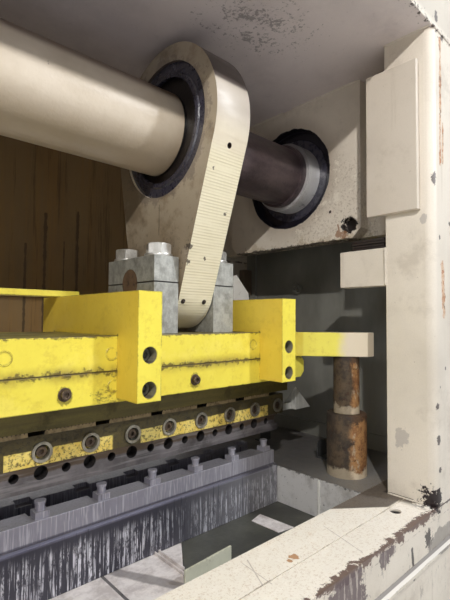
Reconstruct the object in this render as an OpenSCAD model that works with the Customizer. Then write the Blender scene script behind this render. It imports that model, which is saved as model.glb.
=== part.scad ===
// Wide straight-side stamping press with two connecting rods on one eccentric shaft.
// The origin is on the floor, midway between the side frames and below the shaft.
// X runs along the shaft, Y from front to back, Z up. Sizes are in millimetres.

/* [Frame] */
// Clear width between the jambs of the front window
window_w = 2120; // [2100:10:2300]
// Width of a column, along X
column_w = 380; // [340:10:440]
// Depth of a column, along Y
column_d = 145; // [120:5:180]
// Wall of the column boxes
column_wall = 22; // [12:1:30]
// Radius of the bent front corner of a column
column_r = 26; // [24:1:40]
// Depth of the whole frame, front face to back face
frame_d = 1244; // [1200:2:1360]
// Height of the sill of the window above the floor
sill_z = 981; // [940:1:1040]
// Height of the crown's underside above the sill
window_h = 1374; // [1360:1:1460]
// Height of the crown
crown_h = 440; // [360:10:520]
// Wall of the crown and bed plates
plate_t = 40; // [30:1:50]

/* [Bed] */
// Depth of the front and rear bed beams at the sill
sill_d = 197; // [170:1:210]
// Width of the outer strip of the sill, in front of the seam
sill_strip_w = 92; // [70:1:110]
// Gap of the seam between the two sill plates
seam_gap = 2; // [1:0.5:4]
// Thickness of the sill plates
sill_t = 25; // [20:1:35]
// Length of the opening in the bed
bed_open_l = 2000; // [1980:10:2030]
// Height of the trim rail on the bed's front face
trim_z = 868; // [840:1:900]
// Drop from the sill to the tray plates
tray_drop = 128; // [125:1:200]
// Height of the machine feet
foot_h = 60; // [40:5:90]
// Radius of the anchor holes in the feet
anchor_r = 17; // [14:0.5:20]

/* [Side frames] */
// Thickness of the bearing boss plate
boss_t = 60; // [50:1:70]
// Half depth of the bearing boss plate
boss_half_d = 328; // [300:1:360]
// Set-back of the boss plate from the jamb
boss_set_back = 115; // [90:1:130]
// Drop of the boss plate below the crown
boss_drop = 565; // [520:1:600]
// Radius of the flame-cut hole in the boss plate
boss_hole_r = 26; // [20:1:30]
// Thickness of the side plate behind the boss plate
side_t = 40; // [30:1:50]
// Thickness of the outer side cover
cover_t = 12; // [8:1:16]

/* [Shaft] */
// Distance of the shaft's axis below the crown
shaft_drop = 286; // [280:1:300]
// Throw of the eccentrics, half of the ram's stroke
throw = 28; // [24:0.5:29]
// Distance between the two connecting rods
rod_pitch = 1200; // [1160:10:1220]
// Radius of the painted tube between the rods
tube_r = 126; // [110:1:130]
// Radius of the eccentrics
eccentric_r = 170; // [165:1:174]
// Radius of the bare shaft between rod and bearing
shank_r = 112; // [95:1:120]
// Radius of the main journals
journal_r = 134; // [125:1:138]
// Radius of the shaft's ends, which carry flywheel and brake
end_r = 70; // [60:1:80]
// Radial clearance of every running fit
run_gap = 0.05; // [0.03:0.01:0.08]

/* [Connecting rods] */
// Thickness of the rod along X
rod_t = 124; // [110:1:128]
// Outer radius of the big end
big_r = 254; // [248:1:260]
// Outer radius of the small end
small_r = 132; // [120:1:134]
// Wall of the bush in the big end
bush_wall = 18; // [14:1:22]
// Outer radius of the seal ring in the big end
seal_r = 203; // [200:1:210]
// Depth of the seal ring's recess
seal_t = 16; // [12:1:20]

/* [Ram] */
// Half length of the ram's upper bar
ram_half_l = 980; // [940:5:990]
// Extra half length of the lower bar
lower_extra = 53; // [40:1:60]
// Depth of the ram, front to back
ram_d = 380; // [360:2:400]
// Height of the upper bar
upper_h = 82; // [76:1:90]
// Height of the lower bar
lower_h = 74; // [70:1:80]
// Gap between punch strip and die posts in the rest position
tool_gap = 31; // [30:0.5:40]

/* [Yokes] */
// Width of a yoke along X
yoke_w = 63; // [56:1:70]
// Depth of a yoke leg in front of the ram
yoke_leg_d = 92; // [80:1:96]
// Height of the yoke above the ram
yoke_arm_h = 104; // [90:1:120]
// Length of a yoke leg below the ram's top
yoke_leg_h = 146; // [140:1:150]
// Distance of the inner yokes from the press centre
yoke_in_x = 342; // [330:1:352]
// Distance of the outer yokes from the press centre
yoke_out_x = 836; // [820:1:845]
// Radius of the yoke's counterbores
yoke_cbore_r = 19; // [16:0.5:21]

/* [Pillow blocks] */
// Width of a block along X
block_w = 82; // [74:1:90]
// Depth of a block along Y
block_d = 256; // [240:2:270]
// Height of the block's base
block_base_h = 142; // [140:1:150]
// Height of the block's cap
block_cap_h = 74; // [68:1:84]
// Gap of the split line between base and cap
split_gap = 1.5; // [1:0.5:3]
// Side gap between a block and the rod
block_gap = 4; // [3:0.5:6]
// Radius of the wrist pin
pin_r = 41.5; // [38:0.5:44]
// Clearance of the rod's eye round the wrist pin
open_gap = 10; // [9.5:0.5:12]
// Width across flats of the cap bolts
bolt_af = 65; // [60:1:70]
// Height of the cap bolt heads
bolt_h = 30; // [24:1:34]
// Distance of a cap bolt from the pin's axis
bolt_y = 86; // [80:1:90]

/* [Guides] */
// Radius of the guide posts
post_r = 43; // [38:1:48]
// Outer radius of the guide sleeves
sleeve_r = 66; // [58:1:70]
// Height of the guide sleeves
sleeve_h = 205; // [180:1:230]
// Distance of the guide posts from the press centre
guide_x = 1119; // [1114:1:1124]
// Distance of the guide posts from the shaft's plane
guide_y = 303; // [295:1:312]
// Height of the guide arms
arm_h = 80; // [70:1:90]
// Radius of the post's spigot in the guide arm
spigot_r = 28; // [22:1:32]

/* [Upper tooling] */
// Height of the shoe under the ram
shoe_h = 58; // [50:1:66]
// Depth of the tooling, front to back
tool_d = 190; // [170:2:200]
// Half length of the tooling
tool_half_l = 1045; // [1040:1:1050]
// Height of the rack segments
rack_h = 12; // [10:1:16]
// Height of the holder bar
holder_h = 68; // [60:1:74]
// Height of the punch strip
strip_h = 56; // [50:1:62]
// Distance between the holder's screws
screw_pitch = 118; // [110:1:119]
// Number of holder screws along one side
screw_n = 18; // [12:2:18]
// Radius of the holder's counterbores
holder_cbore_r = 24; // [20:0.5:26]
// Radius of the large notches in the punch strip
notch_big_r = 16; // [12:0.5:18]
// Radius of the small notches in the punch strip
notch_small_r = 11; // [8:0.5:13]

/* [Lower die] */
// Height of the die rails
rail_h = 49; // [40:1:56]
// Height of the die block
die_h = 133; // [120:1:150]
// Rise of the die rails above the sill
rail_rise = 58; // [50:1:70]
// Depth of a die rail
rail_d = 60; // [52:1:80]
// How far the die block stands proud of the rails
die_step = 6; // [4:1:10]
// Distance between the die posts
post_pitch = 154; // [150:1:156]
// Number of the die posts
post_n = 13; // [9:2:13]
// Height of the die posts
post_h = 37; // [30:1:37]

/* [Drive] */
// Radius of the flywheel
flywheel_r = 470; // [440:5:480]
// Width of the flywheel's rim
flywheel_w = 150; // [120:5:160]
// Radius of the motor pulley
pulley_r = 90; // [80:1:110]
// Distance of the flywheel from the frame's side
flywheel_out = 66; // [60:1:80]
// Radius of the motor's body
motor_r = 150; // [140:1:160]
// Length of the motor
motor_l = 440; // [430:5:460]
// Distance of the motor's end from the frame's side
motor_set_in = 60; // [50:5:80]
// Length of the motor's terminal box
terminal_l = 160; // [120:5:180]
// How far the terminal box stands out from the motor
terminal_out = 65; // [40:5:80]
// Length of the motor's base
motor_base_l = 420; // [400:5:430]
// Depth of the motor's base, front to back
motor_base_d = 300; // [290:5:320]
// Height of the motor's base above the crown
motor_base_h = 50; // [30:5:80]
// Height of the motor's shaft above its base
motor_h = 190; // [170:5:210]
// Width of the flat drive belt
belt_w = 110; // [90:1:115]
// Thickness of the drive belt
belt_t = 8; // [6:1:10]
// Radius of the brake disc
brake_r = 180; // [160:5:190]
// Thickness of the brake disc
brake_t = 18; // [14:1:24]
// Radius of the brake disc's hub
brake_hub_r = 110; // [100:1:120]
// Length of the brake disc's hub
brake_hub_l = 60; // [50:1:64]

/* [Hidden] */

half_w = window_w / 2;
outer_x = half_w + column_w;
face_y = frame_d / 2;
crown_z = sill_z + window_h;
beam_in_y = face_y - sill_d;
open_x = bed_open_l / 2;
boss_x = half_w + boss_set_back;
side_x = boss_x + boss_t;
side_bottom_z = crown_z - boss_drop;
column_in_y = face_y - column_d;

// Heights of the tooling, from the sill up to the shaft
rail_top_z = sill_z + rail_rise;
rail_z = rail_top_z - rail_h;
die_z = rail_z - die_h;
post_top_z = rail_top_z + post_h;
strip_z = post_top_z + tool_gap;
holder_z = strip_z + strip_h;
rack_z = holder_z + holder_h;
shoe_z = rack_z + rack_h;
lower_z = shoe_z + shoe_h;
upper_z = lower_z + lower_h;
ram_top_z = upper_z + upper_h;
pin_z = ram_top_z + block_base_h;
shaft_z = crown_z - shaft_drop;
rod_l = norm([throw, shaft_z - pin_z]);
rod_x = rod_pitch / 2;
big_y = -throw;
yoke_z = ram_top_z - yoke_leg_h;
yoke_top_z = ram_top_z + yoke_arm_h;
ram_y = ram_d / 2;
block_x = rod_t / 2 + block_gap;

// Sizes that the pieces share
eps = 0.01;
weld_gap = 0.3;
washer_t = 7;
bolt_r = 21;
bolt_in = 52;
bush_r = eccentric_r + bush_wall;
main_bush_r = journal_r + 32;
recess_r = main_bush_r + 34;
recess_d = 34;
collar_w = 22;
journal_in_x = boss_x - 36;
flywheel_x = outer_x + flywheel_out;
shaft_end_x = flywheel_x + flywheel_w + 24;
brake_x = outer_x + cover_t + 20;
brake_hub_x = brake_x + 30;
brake_bolt_ring = 80;
motor_end_x = outer_x - motor_set_in;
motor_stub_r = 26;
motor_seat_z = crown_z + crown_h + motor_base_h;
motor_z = motor_seat_z + motor_h;
drive_c = motor_z - shaft_z;
tray_z = sill_z - tray_drop;
foot_w = 200;
foot_d = 180;
foot_out = 60;
foot_x = outer_x - foot_w / 2;
foot_y = face_y - foot_d / 2 + foot_out;
anchor_x = foot_x + 50;
anchor_y = face_y + foot_out / 2;
die_post_w = 32;
die_post_y = 22;
pad_t = 20;
post_down = 60;

// A plane outline in Y and Z, extruded along +X from x0
module yz(x0, l) {
  translate([x0, 0, 0]) rotate([90, 0, 90]) linear_extrude(l) children();
}

// A plane outline in X and Z, extruded along +Y from y0
module xz(y0, l) {
  translate([0, y0 + l, 0]) rotate([90, 0, 0]) linear_extrude(l) children();
}

// A round bar along +X from x0
module bar_x(x0, l, r, y = 0, z = shaft_z) {
  translate([x0, y, z]) rotate([0, 90, 0]) cylinder(h = l, r = r, $fn = 96);
}

// A round bar along +Y from y0
module bar_y(y0, l, r, x, z, fn = 48) {
  translate([x, y0, z]) rotate([-90, 0, 0]) cylinder(h = l, r = r, $fn = fn);
}

// A box between two corners
module slab(a, b) {
  translate(a) cube(b - a);
}

module both_x() {
  children();
  mirror([1, 0, 0]) children();
}

module both_y() {
  children();
  mirror([0, 1, 0]) children();
}

// The four corners of the machine
module four() {
  both_x() both_y() children();
}

// A bed beam: a box of plates under the sill, in its front position
module bed_beam() {
  wall = plate_t;
  top = sill_z - sill_t;
  difference() {
    slab([-outer_x, -face_y, foot_h], [outer_x, -beam_in_y, top]);
    for (bay = [-1, 0, 1])
      slab([bay * outer_x * 2 / 3 - outer_x / 3 + wall, -face_y + wall, foot_h + wall],
           [bay * outer_x * 2 / 3 + outer_x / 3 - wall, -beam_in_y - wall, top - wall]);
    // Round access holes in the floor of the box
    for (bay = [-1, 0, 1])
      translate([bay * outer_x * 2 / 3, -(face_y + beam_in_y) / 2, foot_h - 1])
        cylinder(h = wall + 2, r = 45, $fn = 48);
  }
}

module bed_front_beam() {
  trim_h = 16;
  trim_out = 14;
  root = 5;
  color("ivory") {
    bed_beam();
    // Trim rail with a sloped top edge, welded across the front face
    yz(-outer_x, outer_x * 2)
      polygon([[-face_y + root, trim_z], [-face_y - trim_out, trim_z],
               [-face_y - trim_out, trim_z + trim_h / 2], [-face_y, trim_z + trim_h],
               [-face_y + root, trim_z + trim_h]]);
  }
}

module bed_rear_beam() {
  color("ivory") mirror([0, 1, 0]) bed_beam();
}

// A bed end: a box between the two beams, with the ledge for the guide sleeves on top
module bed_end() {
  wall = plate_t;
  difference() {
    slab([open_x, -beam_in_y, foot_h], [outer_x, beam_in_y, sill_z]);
    slab([open_x + wall, -beam_in_y + wall, foot_h + wall],
         [outer_x - wall, beam_in_y - wall, sill_z - wall]);
    for (y = [-guide_y, guide_y])
      translate([guide_x, y, sill_z - wall - 1])
        cylinder(h = wall + 2, r = post_r + 4, $fn = 64);
  }
}

module bed_end_left() {
  color("ivory") mirror([1, 0, 0]) bed_end();
}

module bed_end_right() {
  color("ivory") bed_end();
}

// Sill plates: an outer strip and an inner strip with a seam between them
module sill_plates() {
  hole_r = 15;
  hole_from_jamb = 103;
  hole_y = -face_y + 70;
  seam_y = -face_y + sill_strip_w;
  color("ivory") both_y() {
    difference() {
      slab([-outer_x, -face_y, sill_z - sill_t], [outer_x, seam_y - seam_gap, sill_z]);
      for (s = [-1, 1])
        translate([s * (half_w - hole_from_jamb), hole_y, sill_z - sill_t / 2])
          cylinder(h = sill_t, r = hole_r, $fn = 48);
    }
    slab([-outer_x, seam_y, sill_z - sill_t], [outer_x, -beam_in_y, sill_z]);
  }
}

bearer_w = 60;
bearer_xs = [for (k = [-0.92, -0.31, 0.31, 0.92]) k * open_x];

// Tray plates under the bed opening, one between each two bearers, folded down inside
module bed_trays() {
  sheet = 6;
  gap = 4;
  slope = 30;
  flange = 40;
  in_y = tool_d / 2 + die_step + 24;
  color("gray") both_y() for (i = [0 : len(bearer_xs) - 2]) {
    x0 = bearer_xs[i] + bearer_w / 2 + gap;
    yz(x0, bearer_xs[i + 1] - bearer_w / 2 - gap - x0)
      polygon([[-beam_in_y, tray_z], [-in_y, tray_z - slope], [-in_y, tray_z - slope - flange],
               [-in_y - sheet, tray_z - slope - flange], [-in_y - sheet, tray_z - slope - sheet],
               [-beam_in_y, tray_z - sheet]]);
  }
}

// Bearers: I-beams that carry the die block between the two bed beams
module die_bearers() {
  h = 120;
  flange = 20;
  web = 16;
  color("dimgray") for (x = bearer_xs)
    xz(-beam_in_y, beam_in_y * 2) translate([x, die_z - h]) {
      translate([-bearer_w / 2, 0]) square([bearer_w, flange]);
      translate([-web / 2, 0]) square([web, h]);
      translate([-bearer_w / 2, h - flange]) square([bearer_w, flange]);
    }
}

// Feet with anchor holes outside the beams
module machine_feet() {
  color("dimgray") four() difference() {
    slab([foot_x - foot_w / 2, -foot_y - foot_d / 2, 0],
         [foot_x + foot_w / 2, -foot_y + foot_d / 2, foot_h]);
    slab([foot_x - foot_w / 2 - 1, -face_y - foot_out - 1, foot_h / 2],
         [foot_x + foot_w / 2 + 1, -face_y, foot_h + 1]);
    translate([anchor_x, -anchor_y, -1]) cylinder(h = foot_h, r = anchor_r, $fn = 48);
  }
}

// Outline of a column seen from above, with the bent corner at the window's front
module column_outline(r, inset) {
  x0 = half_w + inset;
  x1 = outer_x - inset;
  y0 = -face_y + inset;
  y1 = -column_in_y - inset;
  union() {
    translate([x0 + r, y0 + r]) circle(r = r, $fn = 64);
    polygon([[x0 + r, y0], [x1, y0], [x1, y1], [x0, y1], [x0, y0 + r], [x0 + r, y0 + r]]);
  }
}

// A column: a welded box from the sill to the crown, with closed ends
module column() {
  translate([0, 0, sill_z]) difference() {
    linear_extrude(window_h) column_outline(column_r, 0);
    translate([0, 0, column_wall]) linear_extrude(window_h - 2 * column_wall)
      column_outline(column_r - column_wall + 1, column_wall);
  }
}

module column_front_left() {
  color("ivory") mirror([1, 0, 0]) column();
}

module column_front_right() {
  color("ivory") column();
}

module column_rear_left() {
  color("ivory") mirror([1, 0, 0]) mirror([0, 1, 0]) column();
}

module column_rear_right() {
  color("ivory") mirror([0, 1, 0]) column();
}

// Pad plates welded on the jambs, reaching past the columns' inner edges
module jamb_pads() {
  pad_y0 = face_y - 37;
  pad_y1 = column_in_y - 52;
  pad_h = 446;
  pad_z = crown_z - 90 - pad_h;
  color("ivory") four()
    slab([half_w - pad_t, -pad_y0, pad_z], [half_w, -pad_y1, pad_z + pad_h]);
}

// Stop blocks welded to the inner edges of the columns
module stop_blocks() {
  l = 160;
  h = 118;
  t = 46;
  z = side_bottom_z - 68 - h;
  color("ivory") four()
    slab([half_w, -column_in_y, z], [half_w + t, -column_in_y + l, z + h]);
}

// Side plate of the upper side frame, between the front and the rear column
module side_plate() {
  difference() {
    slab([side_x, -column_in_y, side_bottom_z + 8], [side_x + side_t, column_in_y, crown_z]);
    bar_x(side_x - 1, side_t + 2, main_bush_r);
  }
}

module side_plate_left() {
  color("ivory") mirror([1, 0, 0]) side_plate();
}

module side_plate_right() {
  color("ivory") side_plate();
}

// Boss plate with the bore for the main bush, its greasy recess and a flame-cut hole
module boss_plate() {
  clip = 34;
  hole_y = -282;
  hole_z = side_bottom_z + 50;
  difference() {
    yz(boss_x, boss_t) polygon([
      [-boss_half_d, crown_z], [-boss_half_d, side_bottom_z + clip],
      [-boss_half_d + clip, side_bottom_z], [boss_half_d - clip, side_bottom_z],
      [boss_half_d, side_bottom_z + clip], [boss_half_d, crown_z]]);
    bar_x(boss_x - 1, boss_t + 2, main_bush_r);
    bar_x(boss_x - 1, recess_d + 1, recess_r);
    bar_x(boss_x - 1, recess_d, boss_hole_r, hole_y, hole_z);
  }
}

module boss_plate_left() {
  color("ivory") mirror([1, 0, 0]) boss_plate();
}

module boss_plate_right() {
  color("ivory") boss_plate();
}

// Outer side cover with a stiffening frame behind it
module side_cover() {
  rim = 60;
  overlap = 40;
  frame_t = 10;
  difference() {
    slab([outer_x, -column_in_y - overlap, sill_z],
         [outer_x + cover_t, column_in_y + overlap, crown_z]);
    bar_x(outer_x - 1, cover_t + 2, end_r + 14);
  }
  difference() {
    slab([outer_x - frame_t, -column_in_y + weld_gap, sill_z],
         [outer_x, column_in_y - weld_gap, crown_z]);
    slab([outer_x - frame_t - 1, -column_in_y + rim, sill_z + rim],
         [outer_x + eps, column_in_y - rim, crown_z - rim]);
  }
}

module side_cover_left() {
  color("darkgray") mirror([1, 0, 0]) side_cover();
}

module side_cover_right() {
  color("darkgray") side_cover();
}

// Crown: a welded box with inner ribs, closed on top
module crown() {
  wall = plate_t;
  bays = 4;
  bay_w = outer_x * 2 / bays;
  color("ivory") difference() {
    slab([-outer_x, -face_y, crown_z], [outer_x, face_y, crown_z + crown_h]);
    for (i = [0 : bays - 1])
      slab([-outer_x + i * bay_w + wall, -face_y + wall, crown_z + wall],
           [-outer_x + (i + 1) * bay_w - wall, face_y - wall, crown_z + crown_h - wall]);
  }
}

// Lifting lugs welded on the crown, each with a round eye
module lifting_lugs() {
  lug_r = 60;
  lug_t = 50;
  eye_r = 26;
  from_side = 403;
  from_face = 124;
  lug_x = outer_x - from_side;
  lug_y = face_y - from_face;
  color("ivory") four() xz(-lug_y - lug_t / 2, lug_t) translate([lug_x, crown_z + crown_h])
    difference() {
      union() {
        translate([-lug_r, 0]) square([lug_r * 2, lug_r]);
        translate([0, lug_r]) circle(r = lug_r, $fn = 64);
      }
      translate([0, lug_r]) circle(r = eye_r, $fn = 48);
    }
}

// Rear cover: a ribbed sheet behind the shaft
module rear_cover() {
  sheet = 8;
  rib_w = 40;
  rib_t = 20;
  rear_window_h = 420;
  z0 = sill_z + rear_window_h;
  y0 = face_y - 33;
  ribs = 6;
  color("saddlebrown") {
    slab([-half_w + pad_t, y0, z0], [half_w - pad_t, y0 + sheet, crown_z]);
    for (i = [0 : ribs - 1]) {
      x = (i - (ribs - 1) / 2) * half_w * 2 / ribs;
      slab([x - rib_w / 2, y0 + sheet - eps, z0], [x + rib_w / 2, y0 + sheet + rib_t, crown_z]);
    }
  }
}

// Main bushes with their outer flanges
module main_bushes() {
  flange = 20;
  color("darkkhaki") both_x() difference() {
    union() {
      bar_x(boss_x + recess_d, boss_t + side_t - recess_d, main_bush_r);
      bar_x(side_x + side_t, flange, main_bush_r + 30);
    }
    bar_x(boss_x, boss_t + side_t + flange + 1, journal_r + run_gap);
  }
}

// Guide sleeves: turned bushes welded on the bed ends
module guide_sleeves() {
  color("sienna") four() translate([guide_x, -guide_y, sill_z])
    rotate_extrude($fn = 96) polygon([
      [post_r + run_gap, 0], [sleeve_r, 0], [sleeve_r, sleeve_h - 4], [sleeve_r - 4, sleeve_h],
      [post_r + run_gap + 3, sleeve_h], [post_r + run_gap, sleeve_h - 3]]);
}

// Die block: the tall lower die body between the bed ends
module die_block() {
  l = open_x - 4;
  foot = 18;
  y = tool_d / 2 + die_step;
  color("slategray") yz(-l, l * 2) polygon([
    [-y, die_z], [-y, rail_z - 5], [-y + 5, rail_z], [y - 5, rail_z], [y, rail_z - 5], [y, die_z],
    [foot, die_z], [foot, rail_z - 40], [-foot, rail_z - 40], [-foot, die_z]]);
}

// Die rails: two hardened rails, notched behind each post
module die_rails() {
  seat_w = 40;
  seat_d = 12;
  y0 = tool_d / 2;
  color("slategray") both_y() difference() {
    slab([-open_x + 15, -y0, rail_z], [open_x - 15, -y0 + rail_d, rail_top_z]);
    for (x = post_xs())
      slab([x - seat_w / 2, -y0 + die_post_y + die_post_w / 2, rail_top_z - seat_d],
           [x + seat_w / 2, -y0 + rail_d + 1, rail_top_z + 1]);
  }
}

function post_xs() = [for (i = [0 : post_n - 1]) (i - (post_n - 1) / 2) * post_pitch + 30];

// Die posts: square feet with a turned stud and a cap
module die_posts() {
  foot_h = 15;
  stud_r = 11;
  cap_r = 13;
  cap_h = 6;
  y = -tool_d / 2 + die_post_y;
  color("gray") for (x = post_xs()) translate([x, y, rail_top_z]) {
    translate([-die_post_w / 2, -die_post_w / 2, 0]) cube([die_post_w, die_post_w, foot_h]);
    cylinder(h = post_h, r = stud_r, $fn = 32);
    translate([0, 0, post_h - cap_h]) cylinder(h = cap_h, r = cap_r, $fn = 32);
  }
}

// Motor base: two feet and a plate on the crown
module motor_base() {
  y = motor_base_d / 2;
  foot = 20;
  color("dimgray") yz(30 - motor_end_x, motor_base_l) translate([0, motor_seat_z])
    polygon([[-y, -motor_base_h], [-y + 2 * foot, -motor_base_h], [-y + 2 * foot, -foot],
             [y - 2 * foot, -foot], [y - 2 * foot, -motor_base_h], [y, -motor_base_h], [y, 0],
             [-y, 0]]);
}

// Motor: a finned round body with end bells, a fan cover and a terminal box
module motor() {
  x0 = -motor_end_x;
  bell_l = 40;
  fan_l = 90;
  fan_in = 80;
  fin_in = 60;
  fin_n = 28;
  fin_h = 14;
  seat_y = motor_base_d / 2 - 15;
  box_x = x0 + fin_in + bell_l + 20;
  box_h = 120;
  color("steelblue") difference() {
    union() {
      bar_x(x0, motor_l, motor_r, 0, motor_z);
      for (i = [0 : fin_n - 1])
        translate([x0 + fin_in, 0, motor_z]) rotate([i * 360 / fin_n, 0, 0])
          translate([0, -3, motor_r - 2]) cube([motor_l - fin_in - fan_l, 6, fin_h + 2]);
      bar_x(x0 + motor_l - fan_in, fan_l, motor_r + fin_h, 0, motor_z);
      bar_x(x0, bell_l, motor_r + fin_h, 0, motor_z);
      slab([x0 + fin_in, -seat_y, motor_seat_z],
           [x0 + motor_l - fan_in - bell_l, seat_y, motor_z - motor_r * 0.8]);
      slab([box_x, motor_r * 0.8, motor_z - box_h / 2],
           [box_x + terminal_l, motor_r + terminal_out, motor_z + box_h / 2]);
    }
    bar_x(x0 - 1, 30, motor_stub_r, 0, motor_z);
  }
}

// Flat belt: a loop round the flywheel's rim and the motor pulley
module drive_belt() {
  gap = 0.3;
  x0 = -flywheel_x - (flywheel_w + belt_w) / 2;
  a = asin((flywheel_r - pulley_r) / drive_c);
  color("black") yz(x0, belt_w) difference() {
    belt_outline(gap + belt_t, a);
    belt_outline(gap, a);
  }
}

// Outline of the belt path, grown by g
module belt_outline(g, a) {
  big = flywheel_r + g;
  little = pulley_r + g;
  translate([0, shaft_z]) circle(r = big, $fn = 128);
  translate([0, motor_z]) circle(r = little, $fn = 64);
  polygon([[-big * cos(a), shaft_z + big * sin(a)], [big * cos(a), shaft_z + big * sin(a)],
           [little * cos(a), motor_z + little * sin(a)],
           [-little * cos(a), motor_z + little * sin(a)]]);
}

// Brake housing: a round can on the right side frame, open at the shaft
module brake_housing() {
  r = brake_r + 30;
  wall = 14;
  x0 = outer_x + cover_t;
  l = shaft_end_x - x0;
  color("darkgray") difference() {
    union() {
      bar_x(x0, l, r);
      bar_x(x0, 16, r + 34);
    }
    bar_x(x0 + wall, l - 2 * wall, r - wall);
    bar_x(x0 - 1, wall + 2, end_r + 14);
    for (i = [0 : 7])
      bar_x(x0 - 1, 18, 9, (r + 17) * cos(i * 45), shaft_z + (r + 17) * sin(i * 45));
  }
}

// Eccentric shaft, turned in one piece: tube, eccentrics, shanks, collars, journals and ends
module eccentric_shaft() {
  ecc_w = rod_t - 2 * seal_t - 4;
  color("wheat") both_x() {
    bar_x(0, rod_x - ecc_w / 2 + eps, tube_r);
    bar_x(rod_x - ecc_w / 2, ecc_w, eccentric_r, big_y);
    bar_x(rod_x + ecc_w / 2 - eps, journal_in_x - collar_w - rod_x - ecc_w / 2 + 2 * eps, shank_r);
    bar_x(journal_in_x - collar_w, collar_w + eps, shank_r + 10);
    bar_x(journal_in_x, side_x + side_t + 20 - journal_in_x, journal_r);
    bar_x(side_x + side_t + 20 - eps, brake_hub_x - side_x - side_t - 20, end_r);
  }
  color("wheat") mirror([1, 0, 0])
    bar_x(brake_x, shaft_end_x - brake_x, end_r - 2);
}

// Brake disc on the right end of the shaft
module brake_disc() {
  color("gray") difference() {
    union() {
      bar_x(brake_hub_x, brake_hub_l, brake_hub_r);
      bar_x(brake_hub_x + brake_hub_l / 2, brake_t, brake_r);
    }
    for (i = [0 : 5])
      bar_x(brake_hub_x - 1, brake_hub_l + 2, 12, brake_bolt_ring * cos(i * 60),
            shaft_z + brake_bolt_ring * sin(i * 60));
  }
}

// Flywheel with a dished web, six round holes and a hub that runs on the shaft
module flywheel() {
  rim_t = 80;
  hub_r = 130;
  web_t = 36;
  mid = -flywheel_x - flywheel_w / 2;
  color("dimgray") difference() {
    translate([mid, 0, shaft_z]) rotate([0, 90, 0]) rotate_extrude($fn = 160) polygon([
      [end_r - 2 + run_gap, -flywheel_w / 2], [hub_r, -flywheel_w / 2],
      [hub_r + 12, -web_t / 2], [flywheel_r - rim_t - 12, -web_t / 2],
      [flywheel_r - rim_t, -flywheel_w / 2], [flywheel_r, -flywheel_w / 2],
      [flywheel_r, flywheel_w / 2], [flywheel_r - rim_t, flywheel_w / 2],
      [flywheel_r - rim_t - 12, web_t / 2], [hub_r + 12, web_t / 2], [hub_r, flywheel_w / 2],
      [end_r - 2 + run_gap, flywheel_w / 2]]);
    for (i = [0 : 5])
      bar_x(mid - web_t, web_t * 2, 55, 260 * cos(i * 60), shaft_z + 260 * sin(i * 60));
  }
}

// Motor pulley with its shaft stub, which runs in the motor's end bell
module motor_pulley() {
  x0 = -flywheel_x - flywheel_w;
  stub_r = motor_stub_r - run_gap;
  color("gray") {
    bar_x(x0, flywheel_w, pulley_r, 0, motor_z);
    bar_x(-flywheel_x - eps, flywheel_out + motor_set_in + 20, stub_r, 0, motor_z);
  }
}

// Outline of a rod in Y and Z: two round ends joined by their tangents
module rod_outline() {
  dy = 0 - big_y;
  dz = pin_z - shaft_z;
  dir = atan2(dz, dy);
  a = acos((big_r - small_r) / rod_l);
  function on(c, r, t) = [c[0] + r * cos(t), c[1] + r * sin(t)];
  big_c = [big_y, shaft_z];
  small_c = [0, pin_z];
  translate(big_c) circle(r = big_r, $fn = 128);
  translate(small_c) circle(r = small_r, $fn = 96);
  polygon([on(big_c, big_r, dir - a), on(small_c, small_r, dir - a),
           on(small_c, small_r, dir + a), on(big_c, big_r, dir + a)]);
}

// Connecting rod with the bored big end, two seal recesses and the small eye
module rod_at(x) {
  oil_r = 7;
  difference() {
    yz(x - rod_t / 2, rod_t) rod_outline();
    bar_x(x - rod_t / 2 - 1, rod_t + 2, bush_r, big_y);
    for (s = [-1, 1])
      bar_x(x + s * rod_t / 2 - seal_t, seal_t * 2, seal_r, big_y);
    bar_x(x - rod_t / 2 - 1, rod_t + 2, pin_r + open_gap, 0, pin_z);
    bar_y(-throw - big_r - 20, 60, oil_r, x, shaft_z - 96);
  }
}

module rod_left() {
  color("wheat") rod_at(-rod_x);
}

module rod_right() {
  color("wheat") rod_at(rod_x);
}

// Bronze bush pressed in the rod's big end
module rod_bush_at(x) {
  w = rod_t - 2 * seal_t;
  color("darkgoldenrod") difference() {
    bar_x(x - w / 2, w, bush_r, big_y);
    bar_x(x - w / 2 - 1, w + 2, eccentric_r + run_gap, big_y);
  }
}

module rod_bush_left() {
  rod_bush_at(-rod_x);
}

module rod_bush_right() {
  rod_bush_at(rod_x);
}

// Seal rings in the recesses of a rod's big end, with a raised greasy lip
module seal_rings_at(x) {
  in_r = eccentric_r - 12;
  lip_w = 16;
  t = seal_t - 3;
  color("black") for (s = [-1, 1])
    translate([x + s * (rod_t / 2 - seal_t), big_y, shaft_z]) rotate([0, s * 90, 0])
      rotate_extrude($fn = 96) polygon([
        [in_r, 3], [in_r + lip_w, 3], [in_r + lip_w, 0], [seal_r, 0], [seal_r, t - 6],
        [seal_r - 10, t - 4], [in_r + lip_w, t - 4], [in_r + lip_w - 4, t], [in_r, t]]);
}

module seal_rings_left() {
  seal_rings_at(-rod_x);
}

module seal_rings_right() {
  seal_rings_at(rod_x);
}

// Upper bar of the ram
module ram_upper_bar() {
  color("gold") slab([-ram_half_l, -ram_y, upper_z], [ram_half_l, ram_y, ram_top_z]);
}

// Lower bar of the ram, with clipped ends
module ram_lower_bar() {
  l = ram_half_l + lower_extra;
  clip = 18;
  color("gold") xz(-ram_y, ram_d) polygon([
    [-l + clip, lower_z], [l - clip, lower_z], [l, lower_z + clip], [l, upper_z - clip],
    [l - clip, upper_z], [-l + clip, upper_z], [-l, upper_z - clip], [-l, lower_z + clip]]);
}

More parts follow.
